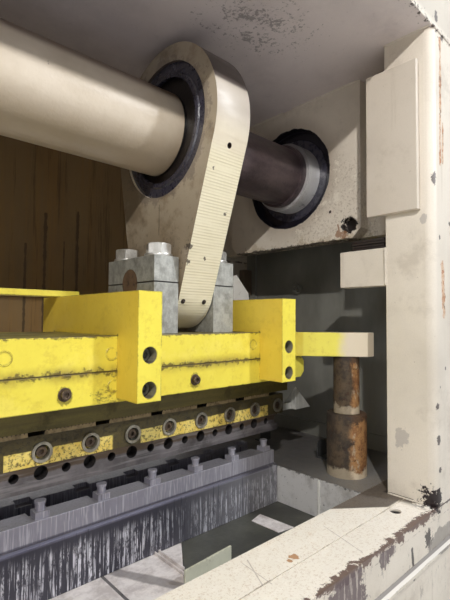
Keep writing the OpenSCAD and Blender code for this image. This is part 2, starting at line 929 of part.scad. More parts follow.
yoke_xs = [-yoke_out_x, -yoke_in_x, yoke_in_x, yoke_out_x];
yoke_screw_zs = [upper_z + upper_h / 2, lower_z + lower_h / 2];
yoke_cbore_d = 46;
yoke_screw_r = 12;

// Yokes: inverted U-shaped straps over the ram, with counterbored legs
module yokes() {
  y = ram_y + yoke_leg_d;
  color("gold") for (x = yoke_xs) difference() {
    yz(x - yoke_w / 2, yoke_w) polygon([
      [-y, yoke_z], [-ram_y, yoke_z], [-ram_y, ram_top_z], [ram_y, ram_top_z], [ram_y, yoke_z],
      [y, yoke_z], [y, yoke_top_z], [-y, yoke_top_z]]);
    for (z = yoke_screw_zs) both_y() {
      bar_y(-y - 1, yoke_cbore_d + 1, yoke_cbore_r, x, z);
      bar_y(-y, yoke_leg_d + 1, yoke_screw_r, x, z);
    }
  }
}

// A socket head along +Y, with its hex socket, head end at y0
module socket_head(y0, x, z, head_r, head_h, socket_af) {
  difference() {
    bar_y(y0, head_h, head_r, x, z, 32);
    translate([x, y0 - 1, z]) rotate([-90, 0, 0])
      cylinder(h = head_h * 0.6, r = socket_af / 2 / cos(30), $fn = 6);
  }
}

// Screws of the yokes, seated in their counterbores
module yoke_screws() {
  y = ram_y + yoke_leg_d - yoke_cbore_d;
  head_h = 20;
  color("silver") for (x = yoke_xs) for (z = yoke_screw_zs) both_y() {
    socket_head(-y - head_h, x, z, yoke_cbore_r - 3, head_h, 19);
    bar_y(-y - eps, yoke_leg_d - yoke_cbore_d + eps, yoke_screw_r - 0.5, x, z, 32);
  }
}

// Tie bar over the two inner yokes
module tie_bar() {
  l = yoke_in_x + yoke_w / 2 + 2;
  w = 60;
  h = 18;
  y0 = ram_y - 24;
  color("gold") slab([-l, y0, yoke_top_z], [l, y0 + w, yoke_top_z + h]);
}

block_centers = [for (r = [-rod_x, rod_x]) for (s = [-1, 1]) r + s * (block_x + block_w / 2)];

// Outline of the wrist pin's seat in a block
module pin_seat(x) {
  bar_x(x - block_w / 2 - 1, block_w + 2, pin_r, 0, pin_z);
}

// Bases of the pillow blocks
module block_bases() {
  color("lightgray") for (x = block_centers) difference() {
    slab([x - block_w / 2, -block_d / 2, ram_top_z],
         [x + block_w / 2, block_d / 2, pin_z - split_gap / 2]);
    pin_seat(x);
    both_y() translate([x, -bolt_y, pin_z - bolt_in]) cylinder(h = bolt_in, r = bolt_r, $fn = 48);
  }
}

// Caps of the pillow blocks
module block_caps() {
  color("lightgray") for (x = block_centers) difference() {
    slab([x - block_w / 2, -block_d / 2, pin_z + split_gap / 2],
         [x + block_w / 2, block_d / 2, pin_z + block_cap_h]);
    pin_seat(x);
    both_y() translate([x, -bolt_y, pin_z]) cylinder(h = block_cap_h + 1, r = bolt_r + 1, $fn = 48);
  }
}

// Cap bolts: chamfered hex heads on washers, with shanks through the caps into the bases
module cap_bolts() {
  washer_r = bolt_af / 2 + 7;
  z = pin_z + block_cap_h;
  color("whitesmoke") for (x = block_centers) both_y() translate([x, -bolt_y, z]) {
    translate([0, 0, -block_cap_h - bolt_in + 2])
      cylinder(h = block_cap_h + bolt_in, r = bolt_r - 0.1, $fn = 48);
    cylinder(h = washer_t, r = washer_r, $fn = 48);
    translate([0, 0, washer_t]) rotate([0, 0, 8]) intersection() {
      cylinder(h = bolt_h, r = bolt_af / 2 / cos(30), $fn = 6);
      cylinder(h = bolt_h, r1 = bolt_af / 2 + 28, r2 = bolt_af / 2 + 1, $fn = 48);
    }
  }
}

// Wrist pins through both blocks of each rod
module wrist_pins() {
  l = block_x + block_w;
  color("saddlebrown") for (x = [-rod_x, rod_x]) bar_x(x - l, l * 2, pin_r, 0, pin_z);
}

arm_z = ram_top_z - arm_h - 1;

// Outline of a guide arm from above, in the front right corner: it wraps the ram's corner
module arm_outline() {
  inner = 23;
  reach = 78;
  tip = 45;
  outer = 61;
  polygon([[ram_half_l - inner, -ram_y], [guide_x + tip - 40, -guide_y - reach],
           [guide_x + tip, -guide_y - reach], [guide_x + outer, -guide_y - reach / 2],
           [ram_half_l, -ram_y + 75], [ram_half_l, -ram_y]]);
}

// Guide arms: thick arms welded on the ram's corners, each bored for a post's spigot
module guide_arms() {
  color("gold") four() difference() {
    translate([0, 0, arm_z]) linear_extrude(arm_h) arm_outline();
    translate([guide_x, -guide_y, arm_z - 1]) cylinder(h = arm_h + 2, r = spigot_r, $fn = 96);
  }
}

// Guide posts: ground posts under the arms, which slide in the sleeves
module guide_posts() {
  z0 = sill_z - post_down;
  color("rosybrown") four() translate([guide_x, -guide_y, z0]) {
    cylinder(h = arm_z - z0, r = post_r, $fn = 96);
    cylinder(h = arm_z + arm_h - z0, r = spigot_r, $fn = 96);
  }
}

// Shoe under the ram
module tool_shoe() {
  y = tool_d / 2 + 12;
  color("dimgray") slab([-tool_half_l, -y, shoe_z], [tool_half_l, y, lower_z]);
}

// Rack segments: toothed strips with gaps between them
module rack_segments() {
  tooth = 9;
  teeth = 14;
  pitch = 162;
  n = floor(tool_half_l * 2 / pitch);
  depth = 24;
  y0 = tool_d / 2 + 4;
  color("dimgray") both_y() for (i = [0 : n - 1])
    translate([(i - (n - 1) / 2) * pitch - tooth * teeth / 2, 0, rack_z])
      xz(-y0, depth) polygon([
        [0, 0], [tooth * teeth, 0],
        for (k = [teeth - 1 : -1 : 0])
          each [[(k + 0.9) * tooth, rack_h], [(k + 0.5) * tooth, rack_h],
                [(k + 0.1) * tooth, rack_h - 5]]]);
}

screw_xs = [for (i = [0 : screw_n - 1]) (i - (screw_n - 1) / 2) * screw_pitch];
holder_lip = 12;
holder_cbore_d = 14;
holder_screw_r = 8;
holder_ring_r = 17;
holder_screw_z = holder_z + 29;

// Holder bar with counterbored screw holes on both sides
module tool_holder() {
  y = tool_d / 2;
  l = tool_half_l - holder_lip;
  color("goldenrod") difference() {
    slab([-l, -y, holder_z], [l, y, rack_z]);
    for (x = screw_xs) both_y() {
      bar_y(-y - 1, holder_cbore_d + 1, holder_cbore_r, x, holder_screw_z);
      bar_y(-y, 44, holder_screw_r, x, holder_screw_z);
    }
  }
}

// Rings in the holder's counterbores, standing a little proud of its face
module holder_rings() {
  y = tool_d / 2;
  proud = 4;
  color("lightgray") for (x = screw_xs) both_y() difference() {
    bar_y(-y - proud, holder_cbore_d + proud, holder_cbore_r - 0.5, x, holder_screw_z);
    bar_y(-y - proud - 1, holder_cbore_d + proud + 2, holder_ring_r, x, holder_screw_z);
  }
}

// Holder screws, deep inside the rings
module holder_screws() {
  y = tool_d / 2 - holder_cbore_d;
  head_h = 12;
  color("peru") for (x = screw_xs) both_y() {
    socket_head(-y - head_h, x, holder_screw_z, 12, head_h, 11);
    bar_y(-y - eps, 28, holder_screw_r - 0.5, x, holder_screw_z, 32);
  }
}

// Punch strip with a row of large and small notches at half the screws' pitch
module punch_strip() {
  y = tool_d / 2 - 2;
  step = screw_pitch / 2;
  n = screw_n * 2 - 1;
  depth = 34;
  color("gray") difference() {
    slab([-tool_half_l + 40, -y, strip_z], [tool_half_l - 40, y, holder_z]);
    for (i = [0 : n - 1]) both_y() {
      x = (i - (n - 1) / 2) * step;
      bar_y(-y - 1, depth, i % 2 == 0 ? notch_big_r : notch_small_r, x, holder_z - 19, 32);
    }
  }
}

// Gussets: pointed guards beyond the holder's ends, each on a short bracket
module end_gussets() {
  holder_end = tool_half_l - holder_lip;
  out = 67;
  w = 92;
  d = 62;
  h = 86;
  front = tool_d / 2 + 5;
  bracket_d = 20;
  bracket_h = 24;
  color("lightgray") four() {
    translate([holder_end + out, -front, holder_z]) intersection() {
      rotate([90, 0, 0]) translate([0, 0, -d]) linear_extrude(d)
        polygon([[0, 0], [w, 0], [0, h]]);
      rotate([90, 0, 90]) linear_extrude(w) polygon([[0, 0], [d, 0], [0, h]]);
    }
    slab([holder_end, -front + d / 2 - bracket_d / 2, holder_z],
         [holder_end + out + eps, -front + d / 2 + bracket_d / 2, holder_z + bracket_h]);
  }
}

bed_front_beam();
bed_rear_beam();
bed_end_left();
bed_end_right();
sill_plates();
bed_trays();
die_bearers();
machine_feet();
column_front_left();
column_front_right();
column_rear_left();
column_rear_right();
jamb_pads();
stop_blocks();
side_plate_left();
side_plate_right();
boss_plate_left();
boss_plate_right();
side_cover_left();
side_cover_right();
crown();
lifting_lugs();
rear_cover();
main_bushes();
guide_sleeves();
die_block();
die_rails();
die_posts();
motor_base();
motor();
drive_belt();
brake_housing();
eccentric_shaft();
brake_disc();
flywheel();
motor_pulley();
rod_left();
rod_bush_left();
seal_rings_left();
rod_right();
rod_bush_right();
seal_rings_right();
ram_upper_bar();
ram_lower_bar();
yokes();
yoke_screws();
tie_bar();
block_bases();
block_caps();
cap_bolts();
wrist_pins();
guide_arms();
guide_posts();
tool_shoe();
rack_segments();
tool_holder();
holder_rings();
holder_screws();
punch_strip();
end_gussets();
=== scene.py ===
# %% [markdown]
# # A stamping press, dressed for its picture
# The press is a steel frame with a deep crown, a two-rod eccentric shaft, a yellow ram and comb tooling.
# The CAD model already holds every working piece at its real size. This script loads it as a fixed frame,
# gives each piece a finish made from nodes, and adds what a CAD model leaves out: weld beads, small
# screws, plugs, loose plates, chips and dirt.

# %% Load the frame
import math
import random

import bmesh
import bpy
from mathutils import Matrix, Vector


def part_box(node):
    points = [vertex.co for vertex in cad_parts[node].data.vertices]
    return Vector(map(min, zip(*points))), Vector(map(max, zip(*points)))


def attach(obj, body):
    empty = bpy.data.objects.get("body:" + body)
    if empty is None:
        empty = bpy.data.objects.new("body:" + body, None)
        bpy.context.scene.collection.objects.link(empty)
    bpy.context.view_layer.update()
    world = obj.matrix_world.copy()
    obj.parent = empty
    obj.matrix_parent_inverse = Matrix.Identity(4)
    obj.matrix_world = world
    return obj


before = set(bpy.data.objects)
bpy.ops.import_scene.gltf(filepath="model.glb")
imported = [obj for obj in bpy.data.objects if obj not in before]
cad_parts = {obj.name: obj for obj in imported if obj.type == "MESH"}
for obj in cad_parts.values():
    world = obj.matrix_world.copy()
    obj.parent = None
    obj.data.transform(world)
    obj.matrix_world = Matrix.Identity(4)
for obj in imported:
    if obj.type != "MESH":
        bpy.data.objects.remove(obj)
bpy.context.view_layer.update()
print("nodes in the frame:", len(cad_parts))

# %% [markdown]
# ## The camera
# The picture is taken with a wide lens from just in front of the window, a little left of the middle,
# looking to the right. The place, the turn and the lens come from fitting the frame's straight edges
# to the photograph, so they are given as a place in metres and three angles.

# %% Set up the camera
CAMERA_PLACE = (-0.202, -1.116, 1.500)
CAMERA_YAW, CAMERA_PITCH, CAMERA_ROLL = -42.811, 2.429, 0.438
LENS_MM = 26.06

camera_data = bpy.data.cameras.new("camera")
camera_data.lens = LENS_MM
camera_data.sensor_width = 36
camera_data.clip_start = 0.02
camera = bpy.data.objects.new("camera", camera_data)
turn = Matrix.Rotation(math.radians(CAMERA_YAW), 4, "Z")
tilt = Matrix.Rotation(math.radians(90 + CAMERA_PITCH), 4, "X")
roll = Matrix.Rotation(math.radians(CAMERA_ROLL), 4, "Z")
camera.matrix_world = Matrix.Translation(CAMERA_PLACE) @ turn @ tilt @ roll
bpy.context.scene.collection.objects.link(camera)
bpy.context.scene.camera = camera
bpy.context.scene.view_settings.view_transform = "Standard"
print("camera at", CAMERA_PLACE)

# %% [markdown]
# ## Colours as a painter names them
# Blender's shaders count light in equal steps, while screens and paint charts don't. One helper turns a
# screen colour into the linear one, so that every colour below can be written as it is seen.

# %% Turn a screen colour into a linear one
def seen(red, green, blue):
    """The linear colour that shows as this 8-bit screen colour."""
    def straighten(level):
        level = level / 255
        return level / 12.92 if level <= 0.04045 else ((level + 0.055) / 1.055) ** 2.4
    return (straighten(red), straighten(green), straighten(blue), 1.0)


# %% [markdown]
# ## A bench for mixing finishes
# Each finish is a tree of nodes: a base colour, stains laid over it one by one, and a relief that is
# added up in metres. Wiring nodes by hand is long, so a small class keeps the tree and offers the few
# steps that paint and steel need. A mask is a number from 0 to 1 at each place, and a stain is a screen
# colour with the masks that say where it lies. The class reads the object's own coordinates, which are
# the press's coordinates, so a stain can be put at a real place on the machine.

# %% Make the bench for finishes
class Finish:
    def __init__(self, name):
        self.material = bpy.data.materials.new(name)
        self.material.use_nodes = True
        self.nodes = self.material.node_tree.nodes
        self.links = self.material.node_tree.links
        self.shader = self.nodes["Principled BSDF"]
        coordinates = self.nodes.new("ShaderNodeTexCoord")
        self.place = coordinates.outputs["Object"]
        self.x, self.y, self.z = self.apart(self.place)
        self.face_x, self.face_y, self.face_z = self.apart(coordinates.outputs["Normal"])
        self.colour = self.height = None

    def feed(self, socket, value):
        if isinstance(value, bpy.types.NodeSocket):
            self.links.new(value, socket)
        else:
            socket.default_value = value

    def apart(self, vector):
        node = self.nodes.new("ShaderNodeSeparateXYZ")
        self.feed(node.inputs[0], vector)
        return node.outputs[0], node.outputs[1], node.outputs[2]

    def count(self, operation, *values):
        node = self.nodes.new("ShaderNodeMath")
        node.operation = operation
        for socket, value in zip(node.inputs, values):
            self.feed(socket, value)
        return node.outputs[0]

    def arrow(self, operation, first, second=(0, 0, 0), factor=1.0):
        """A sum on vectors; length and dot product come back as a number."""
        node = self.nodes.new("ShaderNodeVectorMath")
        node.operation = operation
        self.feed(node.inputs[0], first)
        if operation == "SCALE":
            self.feed(node.inputs["Scale"], factor)
        else:
            self.feed(node.inputs[1], second)
        return node.outputs["Value" if operation in ("LENGTH", "DOT_PRODUCT") else "Vector"]

    def both(self, first, *others):
        for other in others:
            first = self.count("MULTIPLY", first, other)
        return first

    def either(self, first, *others):
        for other in others:
            first = self.count("MAXIMUM", first, other)
        return first

    def from_place(self, value, place):
        """How far value is from place, to either side."""
        return self.count("ABSOLUTE", self.count("SUBTRACT", value, place))

    def step(self, value, low, high, before=0.0, after=1.0):
        """A smooth step from before to after, while value goes from low to high."""
        node = self.nodes.new("ShaderNodeMapRange")
        node.interpolation_type = "SMOOTHSTEP"
        for name, setting in (("Value", value), ("From Min", low), ("From Max", high),
                              ("To Min", before), ("To Max", after)):
            self.feed(node.inputs[name], setting)
        return node.outputs[0]

    def fall(self, value, low, high):
        """1 up to low, 0 from high on, and smooth between."""
        return self.step(value, low, high, 1.0, 0.0)

    def band(self, value, low, high, soft):
        """1 between low and high, with soft edges."""
        return self.both(self.step(value, low - soft, low + soft), self.fall(value, high - soft, high + soft))

    def plus(self, value, other, share):
        """The value with a share of the other one added."""
        return self.count("ADD", value, self.count("MULTIPLY", other, share))

    @property
    def off_x(self):
        """How far a place is from the middle of the press, to the left or the right."""
        return self.count("ABSOLUTE", self.x)

    @property
    def off_y(self):
        """How far a place is from the middle of the press, to the front or the rear."""
        return self.count("ABSOLUTE", self.y)

    @property
    def turn_x(self):
        """How much a face is turned to the left or the right: 1 when it faces there squarely."""
        return self.count("ABSOLUTE", self.face_x)

    @property
    def on_side(self):
        """1 on faces that look to the left or the right."""
        return self.step(self.turn_x, 0.7, 0.9)

    @property
    def on_front(self):
        """1 on faces that look to the front or the rear."""
        return self.step(self.count("ABSOLUTE", self.face_y), 0.7, 0.9)

    @property
    def on_top(self):
        """1 on faces that look up."""
        return self.step(self.face_z, 0.7, 0.9)

    def noise(self, scale, detail=4.0, rough=0.6, stretch=(1, 1, 1), shift=(0, 0, 0)):
        mapping = self.nodes.new("ShaderNodeMapping")
        self.feed(mapping.inputs["Vector"], self.place)
        mapping.inputs["Scale"].default_value = stretch
        mapping.inputs["Location"].default_value = shift
        node = self.nodes.new("ShaderNodeTexNoise")
        self.feed(node.inputs["Vector"], mapping.outputs[0])
        node.inputs["Scale"].default_value = scale
        node.inputs["Detail"].default_value = detail
        node.inputs["Roughness"].default_value = rough
        return node.outputs[0]

    def spots(self, low, high, *pattern, **more):
        """Spots of noise: 0 where the noise is under low, and 1 where it is over high."""
        return self.step(self.noise(*pattern, **more), low, high)

    def ragged(self, distance, reach, fill=0.5, scale=24.0, shift=(0, 0, 0), soft=0.02):
        """Torn flakes that cover the share fill where distance is 0 and thin out over the reach."""
        flakes = self.count("SUBTRACT", self.noise(scale, 6, 0.75, shift=shift),
                            self.count("MULTIPLY", distance, 0.28 / reach))
        edge = 0.5 + (0.5 - fill) * 0.36
        return self.step(flakes, edge - soft, edge + soft)

    def near(self, centre, radius, stretch=(1, 1, 1), wobble=0.0, scale=30.0):
        """1 inside a ball round centre, whose edge can wobble."""
        away = self.arrow("MULTIPLY", self.arrow("SUBTRACT", self.place, centre), stretch)
        distance = self.arrow("LENGTH", away)
        if wobble:
            sway = self.count("SUBTRACT", self.noise(scale, 5, 0.7), 0.5)
            distance = self.plus(distance, sway, wobble * radius * 4)
        return self.fall(distance, radius * 0.85, radius)

    def line(self, start, end, half, wobble=0.0, scale=80.0):
        """1 along a straight mark from start to end that is half wide to each side."""
        way = Vector(end) - Vector(start)
        reach = self.arrow("SUBTRACT", self.place, start)
        share = self.count("DIVIDE", self.arrow("DOT_PRODUCT", reach, way), way.length_squared)
        share = self.count("MINIMUM", self.count("MAXIMUM", share, 0.0), 1.0)
        away = self.arrow("LENGTH", self.arrow("SUBTRACT", reach, self.arrow("SCALE", way, factor=share)))
        if wobble:
            sway = self.count("SUBTRACT", self.noise(scale, 5, 0.7), 0.5)
            away = self.plus(away, sway, wobble * half * 4)
        return self.fall(away, half * 0.6, half)

    def edges(self, width):
        """1 on sharp edges, 0 on flat faces."""
        rounded = self.nodes.new("ShaderNodeBevel")
        rounded.samples = 4
        rounded.inputs["Radius"].default_value = width
        flat = self.nodes.new("ShaderNodeNewGeometry")
        return self.fall(self.arrow("DOT_PRODUCT", rounded.outputs[0], flat.outputs["Normal"]), 0.80, 0.97)

    def lay(self, mask, under, over):
        """The colour over, laid on the colour under where mask is 1. Each can be a screen colour."""
        node = self.nodes.new("ShaderNodeMix")
        node.data_type = "RGBA"
        self.feed(node.inputs[0], mask)
        for socket, colour in ((node.inputs[6], under), (node.inputs[7], over)):
            self.feed(socket, seen(*colour) if isinstance(colour, tuple) else colour)
        return node.outputs[2]

    def stain(self, colour, *masks):
        """Lays a colour on the finish as mixed so far, as strongly as the product of the masks."""
        self.colour = self.lay(self.both(*masks), self.colour, colour)

    def raise_by(self, metres, pattern):
        """Adds a relief: pattern 1 stands metres high."""
        part = self.count("MULTIPLY", pattern, metres)
        self.height = part if self.height is None else self.count("ADD", self.height, part)

    def done(self, roughness, metal=0.0, coat=0.0):
        self.feed(self.shader.inputs["Base Color"], self.colour)
        self.feed(self.shader.inputs["Roughness"], roughness)
        self.feed(self.shader.inputs["Metallic"], metal)
        self.shader.inputs["Coat Weight"].default_value = coat
        if self.height is not None:
            bump = self.nodes.new("ShaderNodeBump")
            bump.inputs["Distance"].default_value = 1.0
            self.feed(bump.inputs["Height"], self.height)
            self.feed(self.shader.inputs["Normal"], bump.outputs[0])
        return self.material


# %% [markdown]
# ## Places on the machine
# Stains and small pieces sit at real places. The main heights and planes are read from the frame, so
# they follow the CAD model if it changes.

# %% Read the main places from the frame
sill_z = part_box("sill_plates")[1].z
sill_low_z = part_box("sill_plates")[0].z
crown_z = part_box("crown")[0].z
face_y = -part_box("crown")[1].y
jamb_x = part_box("column_front_right")[0].x
column_out_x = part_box("column_front_right")[1].x
column_in_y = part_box("column_front_right")[1].y
boss_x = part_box("boss_plate_right")[0].x
boss_low_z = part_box("boss_plate_right")[0].z
ram_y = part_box("ram_upper_bar")[0].y
ram_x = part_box("ram_upper_bar")[1].x
ram_top_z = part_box("ram_upper_bar")[1].z
ram_seam_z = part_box("ram_upper_bar")[0].z
ram_low_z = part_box("ram_lower_bar")[0].z
shaft_z = (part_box("main_bushes")[0].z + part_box("main_bushes")[1].z) / 2
rod_low, rod_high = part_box("rod_right")
bed_wall_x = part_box("bed_end_right")[0].x
beam_in_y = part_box("bed_front_beam")[1].y
die_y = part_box("die_block")[0].y
rail_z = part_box("die_block")[1].z
holder_low_z, holder_top_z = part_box("tool_holder")[0].z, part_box("tool_holder")[1].z
tray_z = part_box("bed_trays")[1].z
arm_low_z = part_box("guide_arms")[0].z
stop_low, stop_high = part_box("stop_blocks")
print("sill at", round(sill_z, 3), "crown at", round(crown_z, 3), "shaft at", round(shaft_z, 3))

# %% Name the places that the finishes and the small pieces share
RAM_SCREWS_X = (-0.907, -0.547, -0.187, 0.187, 0.547, 0.907)
RAM_SCREWS_Z = 1.333
YOKES_X = (-0.836, -0.342, 0.342, 0.836)
YOKE_SCREWS_Z = ((ram_low_z + ram_seam_z) / 2, (ram_seam_z + ram_top_z) / 2)
YOKE_BORE_R = 0.019
MILLING_PITCH = 0.0078
POST_R, SLEEVE_R = 0.032, 0.055
GUIDE_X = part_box("guide_posts")[1].x - POST_R
GUIDE_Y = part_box("guide_posts")[1].y - POST_R
print("guide posts at", round(GUIDE_X, 3), round(GUIDE_Y, 3))

# %% [markdown]
# ## Cream frame paint: the coat
# The frame is welded from flame-cut plate and sprayed cream. The coat is thick and a little wavy, greyed
# by oil mist, with runs and small brown flecks. One finish serves the whole frame; the coat comes first,
# and the next cells lay the dirt and the painted shade of each place over it.

# %% Spray the cream coat
def cream_coat(paint):
    patches = paint.spots(0.38, 0.66, 2.4, 4, 0.6)
    paint.colour = paint.lay(patches, (232, 222, 208), (216, 206, 192))
    mist = paint.spots(0.52, 0.72, 7, 8, 0.72, shift=(3, 1, 0))
    paint.stain((178, 165, 150), mist, 0.42)
    runs = paint.spots(0.6, 0.74, 26, 5, 0.65, stretch=(1, 1, 0.05))
    paint.stain((156, 138, 116), runs, 0.28)
    flecks = paint.spots(0.69, 0.72, 95, 4, 0.75, shift=(2, 6, 1))
    paint.stain((120, 98, 78), flecks, 0.7)
    grain = paint.spots(0.35, 0.65, 320, 3, 0.8)
    paint.stain((150, 138, 122), grain, 0.1)
    paint.raise_by(0.0003, paint.noise(170, 2, 0.5))
    paint.raise_by(0.0016, paint.noise(9, 2, 0.5, shift=(4, 4, 0)))


# %% [markdown]
# ## Cream frame paint: soot and painted shade on the crown
# The crown's underside is painted purple-grey, and darker toward the left, as shade; above the rods oil
# smoke has spotted it with black flakes. The spots are one noise whose limit rises with the distance from
# the middle of the cluster, so they are dense there and thin out around it. A thinner film of dust dulls
# the crown's outer front.

# %% Soot and shade the crown
def crown_soot_and_shade(paint):
    under = paint.fall(paint.face_z, -0.9, -0.7)
    soot_and_shade = paint.both(under, paint.step(paint.z, crown_z - 0.01, crown_z + 0.01))
    # The underside is painted purple-grey, and darker toward the left, as shade
    paint.stain((232, 221, 238), soot_and_shade, 0.86)
    shade_to_left = paint.fall(paint.x, -0.25, 0.95)
    paint.stain((72, 62, 68), soot_and_shade, shade_to_left, 0.82)
    clouds = paint.spots(0.48, 0.68, 3.6, 6, 0.65, shift=(0, 0, 7))
    paint.stain((112, 102, 106), soot_and_shade, clouds, 0.26)
    way = paint.arrow("MULTIPLY", paint.arrow("SUBTRACT", paint.place, (0.69, -0.28, crown_z)), (1, 1.7, 1))
    clusters = paint.count("MULTIPLY", paint.noise(15, 3, 0.6, shift=(0, 5, 0)), 0.6)
    away = paint.count("ADD", paint.arrow("LENGTH", way), clusters)
    flakes = paint.ragged(away, 0.42, 1.08, 78, (5, 0, 0), 0.006)
    paint.stain((22, 16, 19), soot_and_shade, flakes)
    stray = paint.spots(0.71, 0.73, 34, 6, 0.8, shift=(1, 1, 8))
    paint.stain((60, 50, 48), soot_and_shade, stray, 0.7)
    # Dust has dulled the crown's outer front, least at its right end
    outside = paint.both(paint.step(paint.z, crown_z + 0.004, crown_z + 0.03),
                         paint.fall(paint.y, -0.5, 0.2), paint.step(paint.x, 0.3, 1.35, 0.88, 0.25))
    paint.stain((148, 140, 128), outside)
    # The crown's lower front edge is knocked by slings
    from_edge = paint.count("ADD", paint.from_place(paint.y, face_y), paint.from_place(paint.z, crown_z))
    chips = paint.both(paint.ragged(from_edge, 0.05, 0.50, 40, (0, 4, 0)), paint.step(paint.x, 0.70, 0.95))
    paint.stain((62, 48, 44), chips, 0.9)


# %% [markdown]
# ## Cream frame paint: the sill and the ledges
# The sill in front is bright and trodden: tan flecks, scuffs and a few scratches, and in the corner at
# the jamb a painted shadow with brown dirt in it. The ledges behind it carry dark oily dust under painted
# shade, darkest beside the die. The end walls of the bed keep an older, grey coat.

# %% Dust and shade the sill and the ledges
def sill_dust_and_shade(paint):
    up = paint.on_top
    sill = paint.both(up, paint.band(paint.z, sill_z - 0.009, sill_z + 0.009, 0.003))
    paint.stain((250, 243, 233), sill, 0.8)
    tan = paint.spots(0.53, 0.61, 190, 5, 0.8, shift=(0, 2, 0))
    paint.stain((186, 158, 132), sill, tan, 0.44)
    stains = paint.spots(0.56, 0.7, 16, 7, 0.75)
    paint.stain((208, 176, 142), sill, stains, 0.35)
    scuffs = paint.spots(0.54, 0.62, 34, 6, 0.8, stretch=(0.5, 1, 1), shift=(2, 2, 0))
    paint.stain((250, 243, 234), sill, scuffs, 0.6)
    scratches = paint.either(paint.line((0.487, -0.449, sill_z), (0.446, -0.530, sill_z), 0.0016, 0.5),
                             paint.line((0.470, -0.452, sill_z), (0.462, -0.540, sill_z), 0.0014, 0.5),
                             paint.line((0.74, -0.47, sill_z), (0.70, -0.60, sill_z), 0.0013, 0.6))
    paint.stain((140, 118, 118), scratches, 0.45)
    rust_dots = paint.either(paint.near((0.572, -0.508, sill_z), 0.011, (1, 1, 1), 0.5, 90),
                             paint.near((0.552, -0.512, sill_z), 0.007, (1, 1, 1), 0.5, 90))
    paint.stain((176, 116, 52), rust_dots, 0.8)
    # Painted shadow of the jamb in the corner at the jamb, with brown dirt in it
    slope = paint.plus(paint.y, paint.x, 0.76)
    wedge = paint.both(paint.step(slope, 0.206, 0.214), paint.step(paint.y, -0.530, -0.522),
                       paint.step(paint.x, 0.80, 0.84))
    wedge = paint.either(wedge, paint.both(paint.step(paint.x, jamb_x - 0.05, jamb_x - 0.01),
                                           paint.ragged(paint.from_place(paint.y, -0.53), 0.16, 0.8, 30)))
    paint.stain((86, 76, 68), sill, wedge, 0.92)
    paint.stain((70, 58, 52), sill, wedge, tan, 0.5)
    # Painted shade over dark oily dust on the ledges, darker toward the die
    inside = paint.fall(paint.off_y, -beam_in_y - 0.004, -beam_in_y + 0.002)
    ledge = paint.both(sill, inside)
    shade_and_oily_dust = paint.lay(paint.fall(paint.y, -0.4, -0.1), (90, 89, 90), (144, 142, 140))
    shade_and_oily_dust = paint.lay(paint.both(tan, 0.6), shade_and_oily_dust, (132, 118, 104))
    paint.stain(shade_and_oily_dust, ledge, 0.95)
    # The inside of the round hole in the sill is painted dark as shade
    for side in (-1, 1):
        hole = paint.near((side * 0.957, face_y + 0.070, sill_low_z + 0.010), 0.0185, (1, 1, 0.8))
        paint.stain((30, 26, 26), hole, paint.fall(up, 0.0, 0.5))
    # The bed's end walls: grey, pitted, chipped along the top
    wall = paint.from_place(paint.off_x, bed_wall_x)
    wall = paint.both(paint.fall(wall, 0.001, 0.003), paint.on_side, inside)
    paint.stain((206, 205, 206), wall, 0.9)
    stained = paint.spots(0.46, 0.66, 8, 7, 0.75, shift=(6, 3, 0))
    paint.stain((120, 114, 110), wall, stained, 0.5)
    pits = paint.spots(0.61, 0.66, 70, 5, 0.75, shift=(6, 0, 0))
    chipped = paint.ragged(paint.from_place(paint.z, sill_z), 0.018, 0.55, 50)
    paint.stain((70, 66, 66), wall, paint.either(pits, chipped), 0.8)


# %% [markdown]
# ## Cream frame paint: grease at the main bearings
# The shaft's bearings sit in a round recess of the boss plate that is black with old grease, with a crisp
# rim and a faint brown halo. Below it the plate is speckled and worn. A flame-cut hole at the plate's lower
# corner has bled rust, and a dirty line follows the plate's lower edge.

